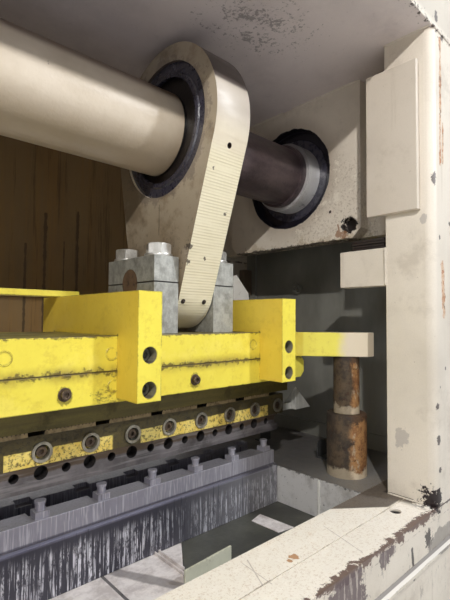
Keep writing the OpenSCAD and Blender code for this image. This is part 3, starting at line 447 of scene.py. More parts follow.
# %% Grease the bearings
def greasy_bearings(paint):
    plate = paint.step(paint.off_x, boss_x - 0.02, boss_x - 0.01)
    across = paint.count("POWER", paint.y, 2.0)
    upward = paint.count("POWER", paint.count("SUBTRACT", paint.z, shaft_z), 2.0)
    around = paint.count("SQRT", paint.count("ADD", across, upward))
    lumps = paint.count("MULTIPLY", paint.count("SUBTRACT", paint.noise(22, 4, 0.6), 0.5), 0.016)
    around = paint.count("ADD", around, lumps)
    inner = paint.both(plate, paint.fall(paint.z, crown_z - 0.01, crown_z))
    halo = paint.both(paint.fall(around, 0.2, 0.27), inner)
    paint.stain((128, 106, 84), halo, 0.35)
    # Worn, speckled paint below and beside the bearing
    worn_zone = paint.both(inner, paint.near((boss_x, -0.20, 1.90), 0.19, (0.3, 1, 0.9), 0.25, 9))
    grit = paint.spots(0.52, 0.6, 110, 6, 0.82, shift=(0, 3, 3))
    paint.stain((150, 130, 108), worn_zone, grit, 0.55)
    splotch = paint.spots(0.56, 0.6, 24, 7, 0.75, shift=(0, 8, 1))
    paint.stain((238, 230, 216), worn_zone, splotch, 0.7)
    below = paint.both(inner, paint.ragged(paint.from_place(paint.z, boss_low_z), 0.10, 0.5, 13, (0, 2, 2)))
    paint.stain((166, 140, 96), below, 0.35)
    # The pads on the jamb are a shade darker than the jamb itself
    pads = paint.both(paint.fall(paint.off_x, jamb_x - 0.0008, jamb_x - 0.0004),
                      paint.step(paint.off_y, 0.33, 0.34),
                      paint.band(paint.z, boss_low_z + 0.02, crown_z - 0.05, 0.004))
    paint.stain((168, 154, 140), pads, 0.36)
    # The flame-cut hole, painted dark inside as shade, its rust, and the plate's lower edge
    for side in (-1, 1):
        hole = paint.near((side * boss_x, -0.282, boss_low_z + 0.050), 0.034, (0.3, 1, 1), 0.35, 60)
        paint.stain((34, 26, 24), hole)
    rust = paint.either(paint.near((boss_x, -0.238, 1.812), 0.014, (1, 1, 1), 0.8, 90),
                        paint.near((boss_x, -0.262, 1.806), 0.018, (1, 1.4, 1), 0.8, 80),
                        paint.line((boss_x, -0.236, 1.846), (boss_x, -0.241, 1.822), 0.004, 0.5))
    paint.stain((142, 92, 50), rust, 0.75)
    rim = paint.ragged(paint.from_place(paint.z, boss_low_z), 0.013, 0.62, 42, (0, 0, 4))
    paint.stain((64, 48, 38), rim, inner, 0.85)
    pit = paint.near((boss_x, -0.203, 1.900), 0.006, (1, 1, 1), 0.3, 90)
    paint.stain((60, 48, 42), pit)
    recess = paint.both(paint.step(paint.off_x, boss_x + 0.001, boss_x + 0.002),
                        paint.fall(around, 0.215, 0.225))
    grease = paint.both(paint.either(recess, paint.fall(around, 0.201, 0.204)), inner)
    paint.stain((32, 30, 40), grease)
    return grease


# %% [markdown]
# ## Cream frame paint: rust and knocks in front
# The jamb's face carries thin runs of rust, one pair high up and one low, and sheets have knocked dark
# chips out of its corner, its foot and the sill's front edge, down to purple primer. Each mark is a line or
# a ball at its own place with a torn edge, because marks like these never repeat.

# %% Rust and knock the front
def knocked_front(paint):
    run_high = paint.either(paint.line((1.122, face_y, 2.335), (1.110, face_y, 1.955), 0.008, 0.9, 28),
                            paint.line((1.134, face_y, 2.081), (1.130, face_y, 1.965), 0.007, 0.8, 40))
    run_low = paint.line((1.118, face_y, 1.660), (1.124, face_y, 1.520), 0.013, 0.9, 45)
    orange = paint.either(run_high, run_low)
    broken = paint.spots(0.46, 0.56, 60, 5, 0.75, shift=(0, 7, 0))
    paint.stain((206, 158, 110), orange, 0.6)
    paint.stain((168, 100, 50), orange, broken, 0.85)
    scabs = paint.spots(0.56, 0.59, 75, 5, 0.75, stretch=(1, 1, 0.5), shift=(3, 7, 0))
    paint.stain((70, 52, 42), orange, scabs, 0.8)
    # Small dark dots and smudges on the jamb
    marks = [(1.095, 2.395, 0.014, 0.8), (1.072, 1.906, 0.012, 0.6), (1.075, 1.256, 0.008, 0.9),
             (1.079, 1.164, 0.010, 0.8), (1.084, 1.080, 0.008, 0.9), (1.10, 1.74, 0.007, 1.0),
             (1.13, 1.36, 0.006, 1.0), (1.091, 1.31, 0.005, 1.0)]
    for x, z, radius, squeeze in marks:
        dot = paint.near((x, face_y, z), radius, (1.3, 1, squeeze), 0.7, 110)
        paint.stain((66, 56, 58), dot, 0.85)
    smudge = paint.near((jamb_x, -0.524, 1.153), 0.026, (1, 1.2, 0.8), 0.6, 50)
    smudge = paint.either(smudge, paint.near((jamb_x, -0.594, 1.79), 0.012, (1, 1.2, 0.8), 0.6, 60))
    paint.stain((128, 122, 128), smudge, 0.4)
    # The jamb's foot and the sill's front edge
    foot = paint.near((jamb_x + 0.004, face_y + 0.012, 1.000), 0.026, (0.9, 0.7, 0.9), 1.1, 75)
    crease = paint.both(paint.ragged(paint.from_place(paint.z, sill_z), 0.008, 0.7, 50),
                        paint.step(paint.x, jamb_x - 0.003, jamb_x), paint.step(paint.y, -0.46, -0.47))
    from_edge = paint.count("ADD", paint.from_place(paint.y, face_y), paint.from_place(paint.z, sill_z))
    edge = paint.both(paint.ragged(from_edge, 0.03, 0.78, 26, (3, 3, 3)),
                      paint.fall(paint.off_x, jamb_x, jamb_x + 0.02))
    paint.stain((92, 66, 58), edge, 0.92)
    paint.stain((40, 30, 30), paint.either(foot, paint.both(crease, 0.8)))
    # Knocks on the bed's face, down to the primer, a grey patch near the jamb's foot, and scrapes
    below_edge = paint.fall(paint.z, sill_z - 0.008, sill_z - 0.001)
    front = paint.both(below_edge, paint.fall(paint.y, face_y - 0.001, face_y + 0.004))
    knock = paint.either(paint.near((0.600, face_y, 0.915), 0.066, (0.85, 1, 0.75), 0.45, 45),
                         paint.near((0.760, face_y, 0.955), 0.018, (0.7, 1, 0.8), 0.7, 60),
                         paint.near((0.795, face_y, 0.960), 0.012, (0.6, 1, 0.8), 0.7, 60))
    shreds = paint.spots(0.54, 0.6, 85, 5, 0.75, stretch=(1, 1, 0.1))
    primer = paint.lay(paint.both(shreds, 0.75), (92, 76, 80), (202, 190, 180))
    paint.stain(primer, knock, front)
    slit = paint.line((0.899, face_y, 0.925), (0.912, face_y, 0.850), 0.0075, 0.5, 40)
    chip = paint.near((0.998, face_y, 0.922), 0.021, (0.9, 1, 0.9), 0.9, 70)
    paint.stain((44, 36, 38), paint.either(slit, chip), front)
    wedge = paint.both(paint.near((1.085, face_y, 0.893), 0.07, (0.75, 1, 2.0), 0.35, 24), front)
    paint.stain((122, 116, 112), wedge, 0.75)
    scraped = paint.noise(46, 6, 0.78, stretch=(1, 1, 0.35), shift=(7, 0, 2))
    scrapes = paint.both(paint.step(scraped, 0.60, 0.64), front, paint.step(paint.z, 0.60, 0.75))
    paint.stain((138, 128, 124), scrapes, 0.55)
    # The trim rail's sloped top: cream at its outer edge, and painted shade on the inner part next to the
    # face
    rail = paint.both(paint.step(paint.face_z, 0.3, 0.5),
                      paint.step(paint.y, face_y - 0.0145, face_y - 0.0135),
                      paint.fall(paint.y, face_y - 0.0005, face_y + 0.0005))
    inner_shade_band = paint.step(paint.y, face_y - 0.0075, face_y - 0.006)
    paint.stain(paint.lay(inner_shade_band, (226, 220, 212), (138, 132, 128)), rail)
    return paint.either(paint.both(knock, front), foot)


# %% Mix the whole frame paint
def cream_frame():
    paint = Finish("cream_frame_paint")
    cream_coat(paint)
    crown_soot_and_shade(paint)
    sill_dust_and_shade(paint)
    grease = greasy_bearings(paint)
    knock = knocked_front(paint)
    worn = paint.spots(0.5, 0.57, 24, 6, 0.75, shift=(9, 0, 0))
    rim = paint.both(paint.edges(0.004), worn)
    paint.stain((104, 82, 68), rim, 0.8)
    paint.raise_by(-0.0006, knock)
    shine = paint.step(paint.noise(11, 4, 0.6), 0.3, 0.7, 0.40, 0.60)
    shine = paint.step(grease, 0.0, 1.0, shine, 0.24)
    print("nodes in the frame paint:", len(paint.nodes))
    return paint.done(shine)


# %% [markdown]
# ## Cream on the shaft and rods
# The turned tube was sprayed the same cream, and the thick coat shows orange peel. Beyond each rod the
# shaft is bare and brown-black with burnt oil, and the bearing journal is bright steel. The rods are forged
# and milled: the front face is smooth near the top and shows fine lines across it lower down. The crown's
# shadow is painted on the tops of the tube, the journals and the rods, and shade on the rods' flanks.

# %% Mix the shaft's paint and bare steel
def cream_shaft():
    paint = Finish("cream_shaft_paint")
    away = paint.off_x
    inside_rod = paint.band(away, rod_low.x + 0.012, rod_high.x - 0.012, 0.001)
    cloudy = paint.spots(0.35, 0.68, 3, 5, 0.6)
    paint.colour = paint.lay(cloudy, (226, 214, 198), (204, 190, 170))
    spots = paint.spots(0.68, 0.74, 42, 6, 0.7)
    paint.stain((120, 96, 76), spots, 0.5)
    # The top of the tube is painted dark as the crown's shadow, and oil creeps in from the rods
    top = paint.step(paint.z, shaft_z + 0.055, shaft_z + 0.090)
    paint.stain((98, 72, 52), top, 0.86)
    low = paint.fall(paint.z, shaft_z - 0.095, shaft_z - 0.03)
    paint.stain((148, 124, 92), low, 0.46)
    creep = paint.plus(away, paint.noise(8, 5, 0.6), 0.08)
    oil = paint.both(paint.step(creep, 0.55, 0.62), 0.55)
    paint.stain((150, 122, 92), oil)
    brown = paint.step(away, 0.655, 0.665)
    varnish = paint.lay(paint.spots(0.35, 0.7, 12, 6, 0.7, (0.4, 1, 1)), (96, 82, 84), (60, 50, 54))
    paint.stain(varnish, brown)
    bright = paint.step(away, 1.1385, 1.1395)
    scored = paint.spots(0.3, 0.8, 90, 3, 0.6, (8, 0.3, 0.3))
    journal = paint.lay(scored, (254, 254, 255), (236, 234, 236))
    smears = paint.spots(0.56, 0.66, 14, 5, 0.7, (1, 2, 2))
    journal = paint.lay(paint.both(smears, 0.45), journal, (112, 102, 104))
    # The journal's top is painted dark as shade
    journal_top_shade = paint.step(paint.z, shaft_z + 0.01, shaft_z + 0.07)
    journal = paint.lay(paint.both(journal_top_shade, 0.6), journal, (56, 50, 54))
    paint.stain(journal, bright)
    paint.stain((24, 20, 20), inside_rod)
    paint.raise_by(0.0007, paint.noise(130, 2, 0.5))
    paint.raise_by(0.0008, paint.noise(10, 2, 0.5))
    return paint.done(paint.step(away, 0.655, 0.665, 0.34, 0.38), paint.both(bright, 0.35))


# %% Mix the rods' paint
def cream_rod():
    paint = Finish("cream_rod_paint")
    cloudy = paint.spots(0.35, 0.68, 4, 5, 0.65)
    paint.colour = paint.lay(cloudy, (238, 228, 208), (221, 209, 187))
    front = paint.fall(paint.face_y, -0.85, -0.6)
    low = paint.fall(paint.z, 1.93, 1.99)
    paint.stain((240, 232, 196), front, low, 0.5)
    # The flanks are painted darker than the front, as shade and dirt, most of all low down and behind
    side = paint.on_side
    paint.stain((134, 116, 94), side, 0.62)
    grime = paint.spots(0.5, 0.66, 9, 7, 0.72)
    paint.stain((122, 104, 80), side, grime, 0.6)
    lower = paint.fall(paint.z, 1.6, 1.98)
    paint.stain((104, 87, 62), side, lower, 0.62)
    grit = paint.spots(0.56, 0.62, 60, 6, 0.8, shift=(0, 1, 5))
    paint.stain((80, 66, 52), side, lower, grit, 0.6)
    behind = paint.step(paint.count("ADD", paint.y, paint.noise(7, 4, 0.6)), 0.50, 0.66)
    paint.stain((96, 78, 56), side, behind, 0.65)
    # The round top and the top of the flanks are painted dark as the crown's shadow, with oily dust, and the
    # flat just under it is painted grey, partly a rubbed patch and partly shade
    not_side = paint.fall(paint.turn_x, 0.5, 0.7)
    shadow_and_dust_top = paint.both(not_side, paint.step(paint.z, 2.138, 2.150))
    rubbed_and_shaded = paint.both(not_side, paint.step(paint.z, 1.985, 2.075))
    paint.stain((180, 170, 160), rubbed_and_shaded, 0.8)
    paint.stain((84, 74, 71), shadow_and_dust_top, 0.96)
    paint.stain((96, 84, 80), side, paint.step(paint.z, 2.1, 2.2), 0.25)
    # Greasy finger marks round the seal
    big_y = (rod_low.y + rod_high.y) / 2
    ring = paint.arrow("LENGTH", paint.arrow("MULTIPLY", paint.arrow("SUBTRACT", paint.place,
                                                                    (0, big_y, shaft_z)), (0, 1, 1)))
    halo = paint.both(paint.ragged(paint.count("SUBTRACT", ring, 0.205), 0.06, 0.62, 20), side)
    paint.stain((84, 76, 78), halo, 0.4)
    # Milling lines run across the lower part of the front face
    milled = paint.both(front, low)
    rows = paint.count("SINE", paint.count("MULTIPLY", paint.z, 2 * math.pi / MILLING_PITCH))
    rows = paint.both(paint.step(rows, -0.2, 0.8), paint.spots(0.3, 0.6, 22, 4, 0.6, (0.3, 1, 2)))
    paint.stain((178, 160, 122), milled, rows, 0.36)
    paint.raise_by(0.0004, paint.both(milled, rows))
    # A scribed line on the flank, small chips, and the oil holes, painted dark as shade
    left_side = paint.fall(paint.face_x, -0.8, -0.6)
    scribe = paint.line((0.538, -0.020, 1.751), (0.538, -0.020, 1.843), 0.0018)
    paint.stain((60, 48, 38), scribe, left_side, 0.75)
    worn = paint.spots(0.54, 0.6, 30, 6, 0.75)
    rim = paint.both(paint.edges(0.003), worn)
    paint.stain((84, 66, 52), rim, 0.8)
    marks = [(0.545, -0.150, 1.657, 0.008), (0.600, -0.158, 1.672, 0.005), (0.540, -0.170, 1.700, 0.007),
             (0.640, -0.200, 1.800, 0.006), (0.560, -0.235, 1.905, 0.005)]
    for x, y, z, radius in marks:
        chip = paint.near((x, y, z), radius, (1, 0.4, 1), 1.0, 120)
        paint.stain((56, 44, 38), chip, 0.85)
    for side_sign in (-1, 1):
        oil_hole = paint.near((side_sign * 0.60, rod_low.y + 0.02, 1.973), 0.0085, (1, 0.15, 1))
        paint.stain((40, 28, 26), oil_hole)
    paint.raise_by(0.0003, paint.noise(130, 2, 0.5))
    paint.raise_by(0.001, paint.noise(10, 2, 0.5))
    return paint.done(0.42)


# %% [markdown]
# ## Yellow ram paint
# The ram, yokes and arms are safety yellow. Black grime has settled thickly in the seam between the two
# bars, along the top edge and round the screws, and the bars' lower edge is chipped. The yokes' flanks are
# painted amber as shade, oil mist darkens what looks up, and the arms fade to bare cream at their ends.

# %% Mix the yellow
def ram_yellow():
    paint = Finish("ram_yellow_paint")
    cloudy = paint.spots(0.36, 0.66, 5, 6, 0.65)
    paint.colour = paint.lay(cloudy, (242, 226, 86), (232, 213, 76))
    pale = paint.spots(0.54, 0.66, 11, 6, 0.7, shift=(6, 0, 0))
    paint.stain((246, 230, 112), pale, 0.4)
    grime = paint.spots(0.58, 0.72, 13, 8, 0.74, shift=(1, 5, 0))
    paint.stain((186, 154, 58), grime, 0.3)
    flecks = paint.spots(0.69, 0.72, 90, 5, 0.78, shift=(1, 1, 1))
    paint.stain((110, 90, 44), flecks, 0.7)
    # Faces turned to the left or right are painted amber as shade
    flank = paint.both(paint.on_side, paint.fall(paint.off_x, 0.9, 0.92))
    paint.stain((216, 168, 56), flank, 0.45)
    # The arms beyond the bars have kept a fresher, paler coat
    arms = paint.step(paint.off_x, ram_x + 0.002, ram_x + 0.008)
    paint.stain((255, 246, 108), arms, 0.75)
    # Black grime in the seam of the bars, on their top edge and round the screws
    bars = paint.band(paint.off_y, -ram_y - 0.004, -ram_y + 0.004, 0.001)
    from_seam = paint.from_place(paint.z, ram_seam_z)
    seam = paint.ragged(from_seam, 0.017, 0.66, 60, (2, 2, 2), 0.06)
    seam = paint.either(seam, paint.fall(from_seam, 0.0012, 0.0028))
    film = paint.both(paint.fall(from_seam, 0.0, 0.026),
                      paint.step(paint.noise(9, 5, 0.7, (1, 1, 0.5)), 0.35, 0.65, 0.15, 0.7))
    top_edge = paint.ragged(paint.from_place(paint.z, ram_top_z), 0.009, 0.70, 70, (0, 2, 0), 0.06)
    low_edge = paint.ragged(paint.from_place(paint.z, ram_low_z), 0.008, 0.45, 36, (3, 0, 0))
    paint.stain((128, 106, 48), film, bars)
    dark = paint.both(paint.either(seam, top_edge, paint.both(low_edge, 0.8)), bars)
    paint.stain((66, 54, 32), dark, 0.8)
    smear = paint.both(paint.near((0.3, ram_y, 1.318), 0.036, (0.75, 1, 1.6), 0.6, 30),
                       paint.spots(0.46, 0.6, 110, 6, 0.8, (0.7, 1, 1)))
    paint.stain((84, 70, 38), smear, bars, 0.7)
    for x in RAM_SCREWS_X:
        halo = paint.near((x, ram_y, RAM_SCREWS_Z - 0.003), 0.0185, (1, 1, 0.85), 0.3, 90)
        paint.stain((92, 78, 40), halo, bars, 0.55)
    # The counterbores in the yokes are bare inside
    for x in YOKES_X:
        for z in YOKE_SCREWS_Z:
            bore = paint.both(paint.near((x, 0, z), YOKE_BORE_R + 0.004, (1, 0, 1)),
                              paint.band(paint.off_y, 0.23, 0.2805, 0.0006))
            paint.stain((120, 116, 98), bore)
    mottled = paint.spots(0.5, 0.66, 30, 8, 0.78, shift=(0, 0, 5))
    paint.stain((190, 158, 52), mottled, 0.3)
    worn = paint.spots(0.4, 0.56, 34, 6, 0.75)
    rim = paint.both(paint.edges(0.0055), worn)
    paint.stain((96, 78, 42), rim, 0.85)
    up = paint.on_top
    dust = paint.step(paint.noise(6, 7, 0.7, shift=(0, 3, 0)), 0.30, 0.62, 0.64, 0.95)
    paint.stain((78, 71, 62), up, dust)
    # The arms' ends were masked: the yellow fades to cream
    end = paint.step(paint.plus(paint.off_x, paint.noise(20, 4, 0.6), 0.03), 1.068, 1.1)
    paint.stain((238, 224, 208), end, 0.92)
    paint.raise_by(0.0002, paint.noise(140, 2, 0.5))
    paint.raise_by(0.0009, paint.noise(12, 2, 0.5))
    paint.raise_by(0.0007, paint.both(seam, bars))
    return paint.done(paint.step(paint.noise(12, 4, 0.6), 0.3, 0.7, 0.36, 0.54))


# %% Mix the holder's yellow
def holder_yellow():
    paint = Finish("holder_yellow_paint")
    cloudy = paint.spots(0.36, 0.66, 18, 6, 0.7)
    paint.colour = paint.lay(cloudy, (236, 214, 124), (222, 192, 88))
    splash = paint.spots(0.51, 0.58, 95, 6, 0.8)
    paint.stain((66, 54, 34), splash, 0.85)
    # The upper half is painted dark olive as the ram's shadow, a yoke's shadow darkens one stretch, and in
    # some stretches the shadow reaches all the way down
    shadow_streaks = paint.spots(0.545, 0.555, 5.2, 3, 0.6, (1, 0.1, 0.1), (0.6, 0, 0))
    sway = paint.count("MULTIPLY", paint.noise(22, 4, 0.7), 0.006)
    middle = (holder_low_z + holder_top_z) / 2
    upper = paint.step(paint.count("ADD", paint.z, sway), middle + 0.004, middle + 0.006)
    yoke_shadow = paint.both(paint.step(paint.x, 0.352, 0.358), paint.fall(paint.x, 0.436, 0.442))
    olive = paint.lay(paint.spots(0.38, 0.64, 14, 6, 0.7), (47, 39, 19), (32, 27, 15))
    paint.stain(olive, paint.either(upper, yoke_shadow, shadow_streaks), 0.94)
    paint.raise_by(0.0004, splash)
    paint.raise_by(0.0003, paint.noise(120, 2, 0.5))
    return paint.done(0.42)


# %% [markdown]
# ## Bare steels
# The pillow blocks are planed and mottled, the bolts are bright, the die is ground and scored from top to
# bottom by sheets, and the comb strip is oily. Each is a metal with its own grain: the grain is noise
# stretched along the cut, and finer noise breaks it up.

# %% Mix the steels
def steel(name, light, dark, dirt, grain, roughness, dirt_share=0.5, metallic=0.6,
          relief=0.00008, seam_z=None):
    metal = Finish(name)
    lines = metal.spots(0.3, 0.72, 50, 3, 0.6, grain)
    metal.colour = metal.lay(lines, light, dark)
    mottle = metal.spots(0.4, 0.62, 210, 4, 0.8)
    metal.stain(dark, mottle, 0.4)
    blotches = metal.spots(0.5, 0.68, 15, 7, 0.72)
    metal.stain(dirt, blotches, dirt_share)
    flecks = metal.spots(0.66, 0.7, 120, 5, 0.8, shift=(4, 0, 0))
    metal.stain(dirt, flecks, 0.5)
    worn = metal.edges(0.003)
    metal.stain(light, worn, 0.35)
    if seam_z is not None:
        seam = metal.fall(metal.from_place(metal.z, seam_z), 0.0012, 0.003)
        metal.stain((30, 27, 26), seam, 0.85)
    metal.raise_by(relief, lines)
    metal.raise_by(0.0002, metal.noise(60, 4, 0.6))
    rough = metal.step(blotches, 0.0, 1.0, roughness, roughness + 0.18)
    return metal.done(rough, metallic)


# %% Mix the scored steel of the die
def scored_die():
    metal = Finish("scored_die_steel")
    tint = metal.spots(0.35, 0.68, 5, 5, 0.65)
    metal.colour = metal.lay(tint, (126, 124, 142), (92, 90, 108))
    block = metal.fall(metal.z, rail_z - 0.012, rail_z - 0.006)
    metal.stain((42, 41, 48), block, 0.82)
    rightward = metal.step(metal.x, 0.45, 1.0)
    metal.stain((178, 177, 183), rightward, 0.52)
    # The rails and posts are lighter, and what looks up is greyer
    above = metal.step(metal.z, rail_z - 0.002, rail_z + 0.002)
    metal.stain((168, 165, 174), above, 0.5)
    up = metal.on_top
    # Dense bright scratches from top to bottom, in clusters, start a little below the groove
    front = metal.on_front
    clusters = metal.step(metal.noise(4.5, 4, 0.7, (1, 1, 0.7), (0, 0, 3)), 0.36, 0.62, 0.25, 1.0)
    starts = metal.plus(metal.z, metal.noise(60, 3, 0.7, (1, 1, 0.02)), 0.05)
    block_band = metal.fall(starts, rail_z - 0.022, rail_z + 0.008)
    scratches = metal.spots(0.49, 0.56, 190, 3, 0.75, (1, 1, 0.022))
    broken = metal.spots(0.4, 0.56, 80, 4, 0.75, (1, 1, 0.35), (0, 0, 1))
    on_block = metal.both(scratches, block_band, clusters, broken, front)
    metal.stain((228, 228, 238), on_block, 0.9)
    fine = metal.both(metal.spots(0.5, 0.62, 230, 2, 0.7, (1, 1, 0.05), (3, 0, 0)), above, front)
    metal.stain((196, 194, 204), fine, 0.55)
    gouge = metal.both(metal.spots(0.6, 0.68, 95, 3, 0.7, (1, 1, 0.03), shift=(8, 0, 0)), front)
    metal.stain((50, 49, 62), gouge, 0.6)
    # The step between rail and block is a dark groove
    groove = metal.fall(metal.from_place(metal.z, rail_z - 0.0005), 0.0035, 0.0075)
    metal.stain((64, 62, 78), groove, 0.72)
    metal.stain((128, 124, 126), up, above, 0.6)
    grit = metal.spots(0.56, 0.62, 130, 5, 0.8)
    metal.stain((78, 74, 76), up, grit, 0.5)
    # The right end has caught sheets, and is scuffed white
    scuffed = metal.both(metal.step(metal.x, 0.945, 0.975),
                         metal.spots(0.5, 0.58, 60, 5, 0.8, (1, 1, 0.25), (0, 5, 0)))
    metal.stain((206, 206, 214), scuffed, 0.6)
    edge = metal.both(metal.edges(0.003), above)
    metal.stain((176, 174, 182), edge, 0.4)
    metal.raise_by(-0.0003, gouge)
    metal.raise_by(0.0002, on_block)
    return metal.done(metal.step(scratches, 0, 1, 0.52, 0.38), 0.35)


# %% Mix the comb strip's steel
def comb_steel():
    metal = Finish("comb_steel")
    top_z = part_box("punch_strip")[1].z
    tint = metal.spots(0.35, 0.68, 9, 6, 0.7)
    metal.colour = metal.lay(tint, (110, 105, 108), (77, 73, 75))
    sway = metal.count("MULTIPLY", metal.noise(16, 5, 0.7), 0.016)
    upper = metal.step(metal.count("ADD", metal.z, sway), top_z - 0.014, top_z - 0.008)
    metal.stain((72, 56, 38), upper, 0.85)
    lines = metal.spots(0.45, 0.62, 90, 3, 0.6, (0.06, 1, 1))
    metal.stain((170, 166, 168), lines, 0.25)
    oil = metal.spots(0.54, 0.66, 16, 6, 0.72)
    metal.stain((48, 42, 40), oil, 0.45)
    # Faces set back from the front, except those looking down, are painted near-black as shade
    under = metal.fall(metal.face_z, -0.8, -0.6)
    recess_shade = metal.fall(metal.off_y, 0.0905, 0.0915)
    metal.stain((20, 17, 17), recess_shade, metal.fall(under, 0, 1), 0.85)
    metal.raise_by(0.0002, lines)
    return metal.done(0.46, 0.3)


# %% Mix the racks' steel: tan on the teeth's fronts, with painted shade on every other face
def rack_steel():
    metal = Finish("rack_steel_with_painted_shade")
    front = metal.on_front
    tan = metal.lay(metal.spots(0.4, 0.62, 40, 6, 0.75), (156, 138, 104), (112, 96, 70))
    # Every face but the teeth's fronts is painted near-black as shade
    metal.colour = metal.lay(front, (34, 30, 26), tan)
    metal.raise_by(0.0003, metal.noise(90, 3, 0.6))
    return metal.done(0.5, 0.3)


# %% [markdown]
# ## Rust, grease and the rest
# Posts and sleeves are bright orange-brown with rust on one side and dark on the other, over a cream foot,
# with a painted shadow at the top.
# The seal rings are wet with black grease, so they get a coat and a low, lumpy relief. Covers, belt, motor
# and castings are seen only from outside and get plain workshop finishes, with dust and wear of their own.

# %% Mix the rust of the pin ends
def rusty_pin():
    metal = Finish("brown_pin_end")
    clouds = metal.spots(0.38, 0.64, 9, 7, 0.72)
    metal.colour = metal.lay(clouds, (112, 90, 70), (84, 64, 50))
    pits = metal.spots(0.54, 0.64, 45, 7, 0.75)
    metal.stain((50, 38, 32), pits, 0.75)
    metal.raise_by(-0.0006, pits)
    return metal.done(0.72, 0.15)


# %% Mix the rust of the guide posts and their sleeves
def rusty_guide(name, radius, high_z, cream_to):
    """Rust on a guide of this radius up to high_z, with cream paint left below cream_to."""
    metal = Finish(name)
    # The side turned outward is bright orange, and the side toward the tool is dark
    out_x = metal.count("SUBTRACT", metal.off_x, GUIDE_X)
    out_y = metal.count("SUBTRACT", metal.off_y, GUIDE_Y)
    outward = metal.count("DIVIDE", metal.count("ADD", out_x, out_y), radius * math.sqrt(2))
    sway = metal.count("MULTIPLY", metal.count("SUBTRACT", metal.noise(14, 5, 0.7), 0.5), 1.6)
    bright = metal.step(metal.count("ADD", outward, sway), -0.50, -0.05)
    orange = metal.lay(metal.spots(0.42, 0.6, 30, 7, 0.78), (186, 140, 92), (140, 96, 62))
    dark = metal.lay(metal.spots(0.4, 0.62, 20, 6, 0.72), (92, 76, 58), (56, 47, 39))
    metal.colour = metal.lay(bright, dark, orange)
    old_paint = metal.spots(0.52, 0.6, 26, 6, 0.75, (1, 1, 0.5), (3, 3, 0))
    metal.stain((206, 192, 168), old_paint, bright, 0.75)
    pits = metal.spots(0.56, 0.62, 80, 6, 0.78)
    metal.stain((72, 44, 28), pits, 0.7)
    edge = metal.plus(metal.z, metal.noise(24, 5, 0.7), 0.06)
    foot = metal.fall(edge, cream_to, cream_to + 0.012)
    metal.stain((226, 210, 184), foot, metal.step(bright, 0, 1, 0.45, 0.95))
    # A dark band at the top edge is painted shadow, the arm's on the post and the rim's on the sleeve, with
    # some soot
    shadow_and_soot_rim = metal.ragged(metal.from_place(metal.z, high_z), 0.05, 0.85, 30, (0, 1, 2), 0.05)
    metal.stain((58, 48, 43), shadow_and_soot_rim, 0.8)
    metal.raise_by(-0.0006, pits)
    metal.raise_by(0.0006, old_paint)
    return metal.done(0.7, 0.05)


# %% Mix grease
def wet_grease():
    film = Finish("wet_black_grease")
    lumps = film.noise(34, 5, 0.65)
    brown = film.step(lumps, 0.52, 0.68)
    film.colour = film.lay(film.both(brown, 0.45), (56, 55, 68), (84, 78, 80))
    film.raise_by(0.0022, film.noise(42, 4, 0.6))
    film.raise_by(0.0006, film.noise(160, 3, 0.6))
    return film.done(film.step(lumps, 0.3, 0.7, 0.18, 0.4), 0.0, coat=0.4)


# %% Mix the plain workshop finishes
def workshop(name, base, shade, mark, roughness, metallic=0.0, relief=0.0004):
    finish = Finish(name)
    clouds = finish.spots(0.36, 0.68, 4, 6, 0.65)
    finish.colour = finish.lay(clouds, base, shade)
    marks = finish.spots(0.6, 0.7, 28, 7, 0.75)
    finish.stain(mark, marks, 0.5)
    worn = finish.both(finish.edges(0.004), finish.spots(0.48, 0.56, 30, 5, 0.7))
    finish.stain(mark, worn, 0.7)
    finish.raise_by(relief, finish.noise(110, 3, 0.6))
    finish.raise_by(relief * 3, finish.noise(12, 2, 0.5))
    return finish.done(finish.step(clouds, 0, 1, roughness, roughness + 0.12), metallic)


# %% Mix the rear panel's brown, streaked inside by oil
def streaked_panel():
    finish = Finish("brown_rear_panel")
    clouds = finish.spots(0.36, 0.68, 3.2, 5, 0.6, (1, 1, 0.5))
    finish.colour = finish.lay(clouds, (144, 118, 80), (122, 98, 66))
    runs = finish.spots(0.46, 0.64, 13, 6, 0.72, (1, 1, 0.04))
    finish.stain((156, 116, 62), runs, 0.4)
    dark_runs = finish.spots(0.56, 0.66, 30, 6, 0.72, (1, 1, 0.04), (5, 0, 0))
    finish.stain((66, 50, 32), dark_runs, 0.5)
    for side in (-1, 1):
        for x, high, low, half in ((0.351, 1.775, 1.42, 0.005), (0.423, 1.90, 1.42, 0.007),
                                   (0.553, 1.93, 1.42, 0.006), (0.498, 1.80, 1.45, 0.003)):
            drip = finish.line((side * x, 0.589, high), (side * x, 0.589, low), half, 0.7, 22)
            finish.stain((48, 36, 24), drip, 0.72)
    finish.raise_by(0.0005, finish.noise(60, 3, 0.6))
    finish.raise_by(0.0012, finish.noise(8, 2, 0.5))
    return finish.done(0.62)


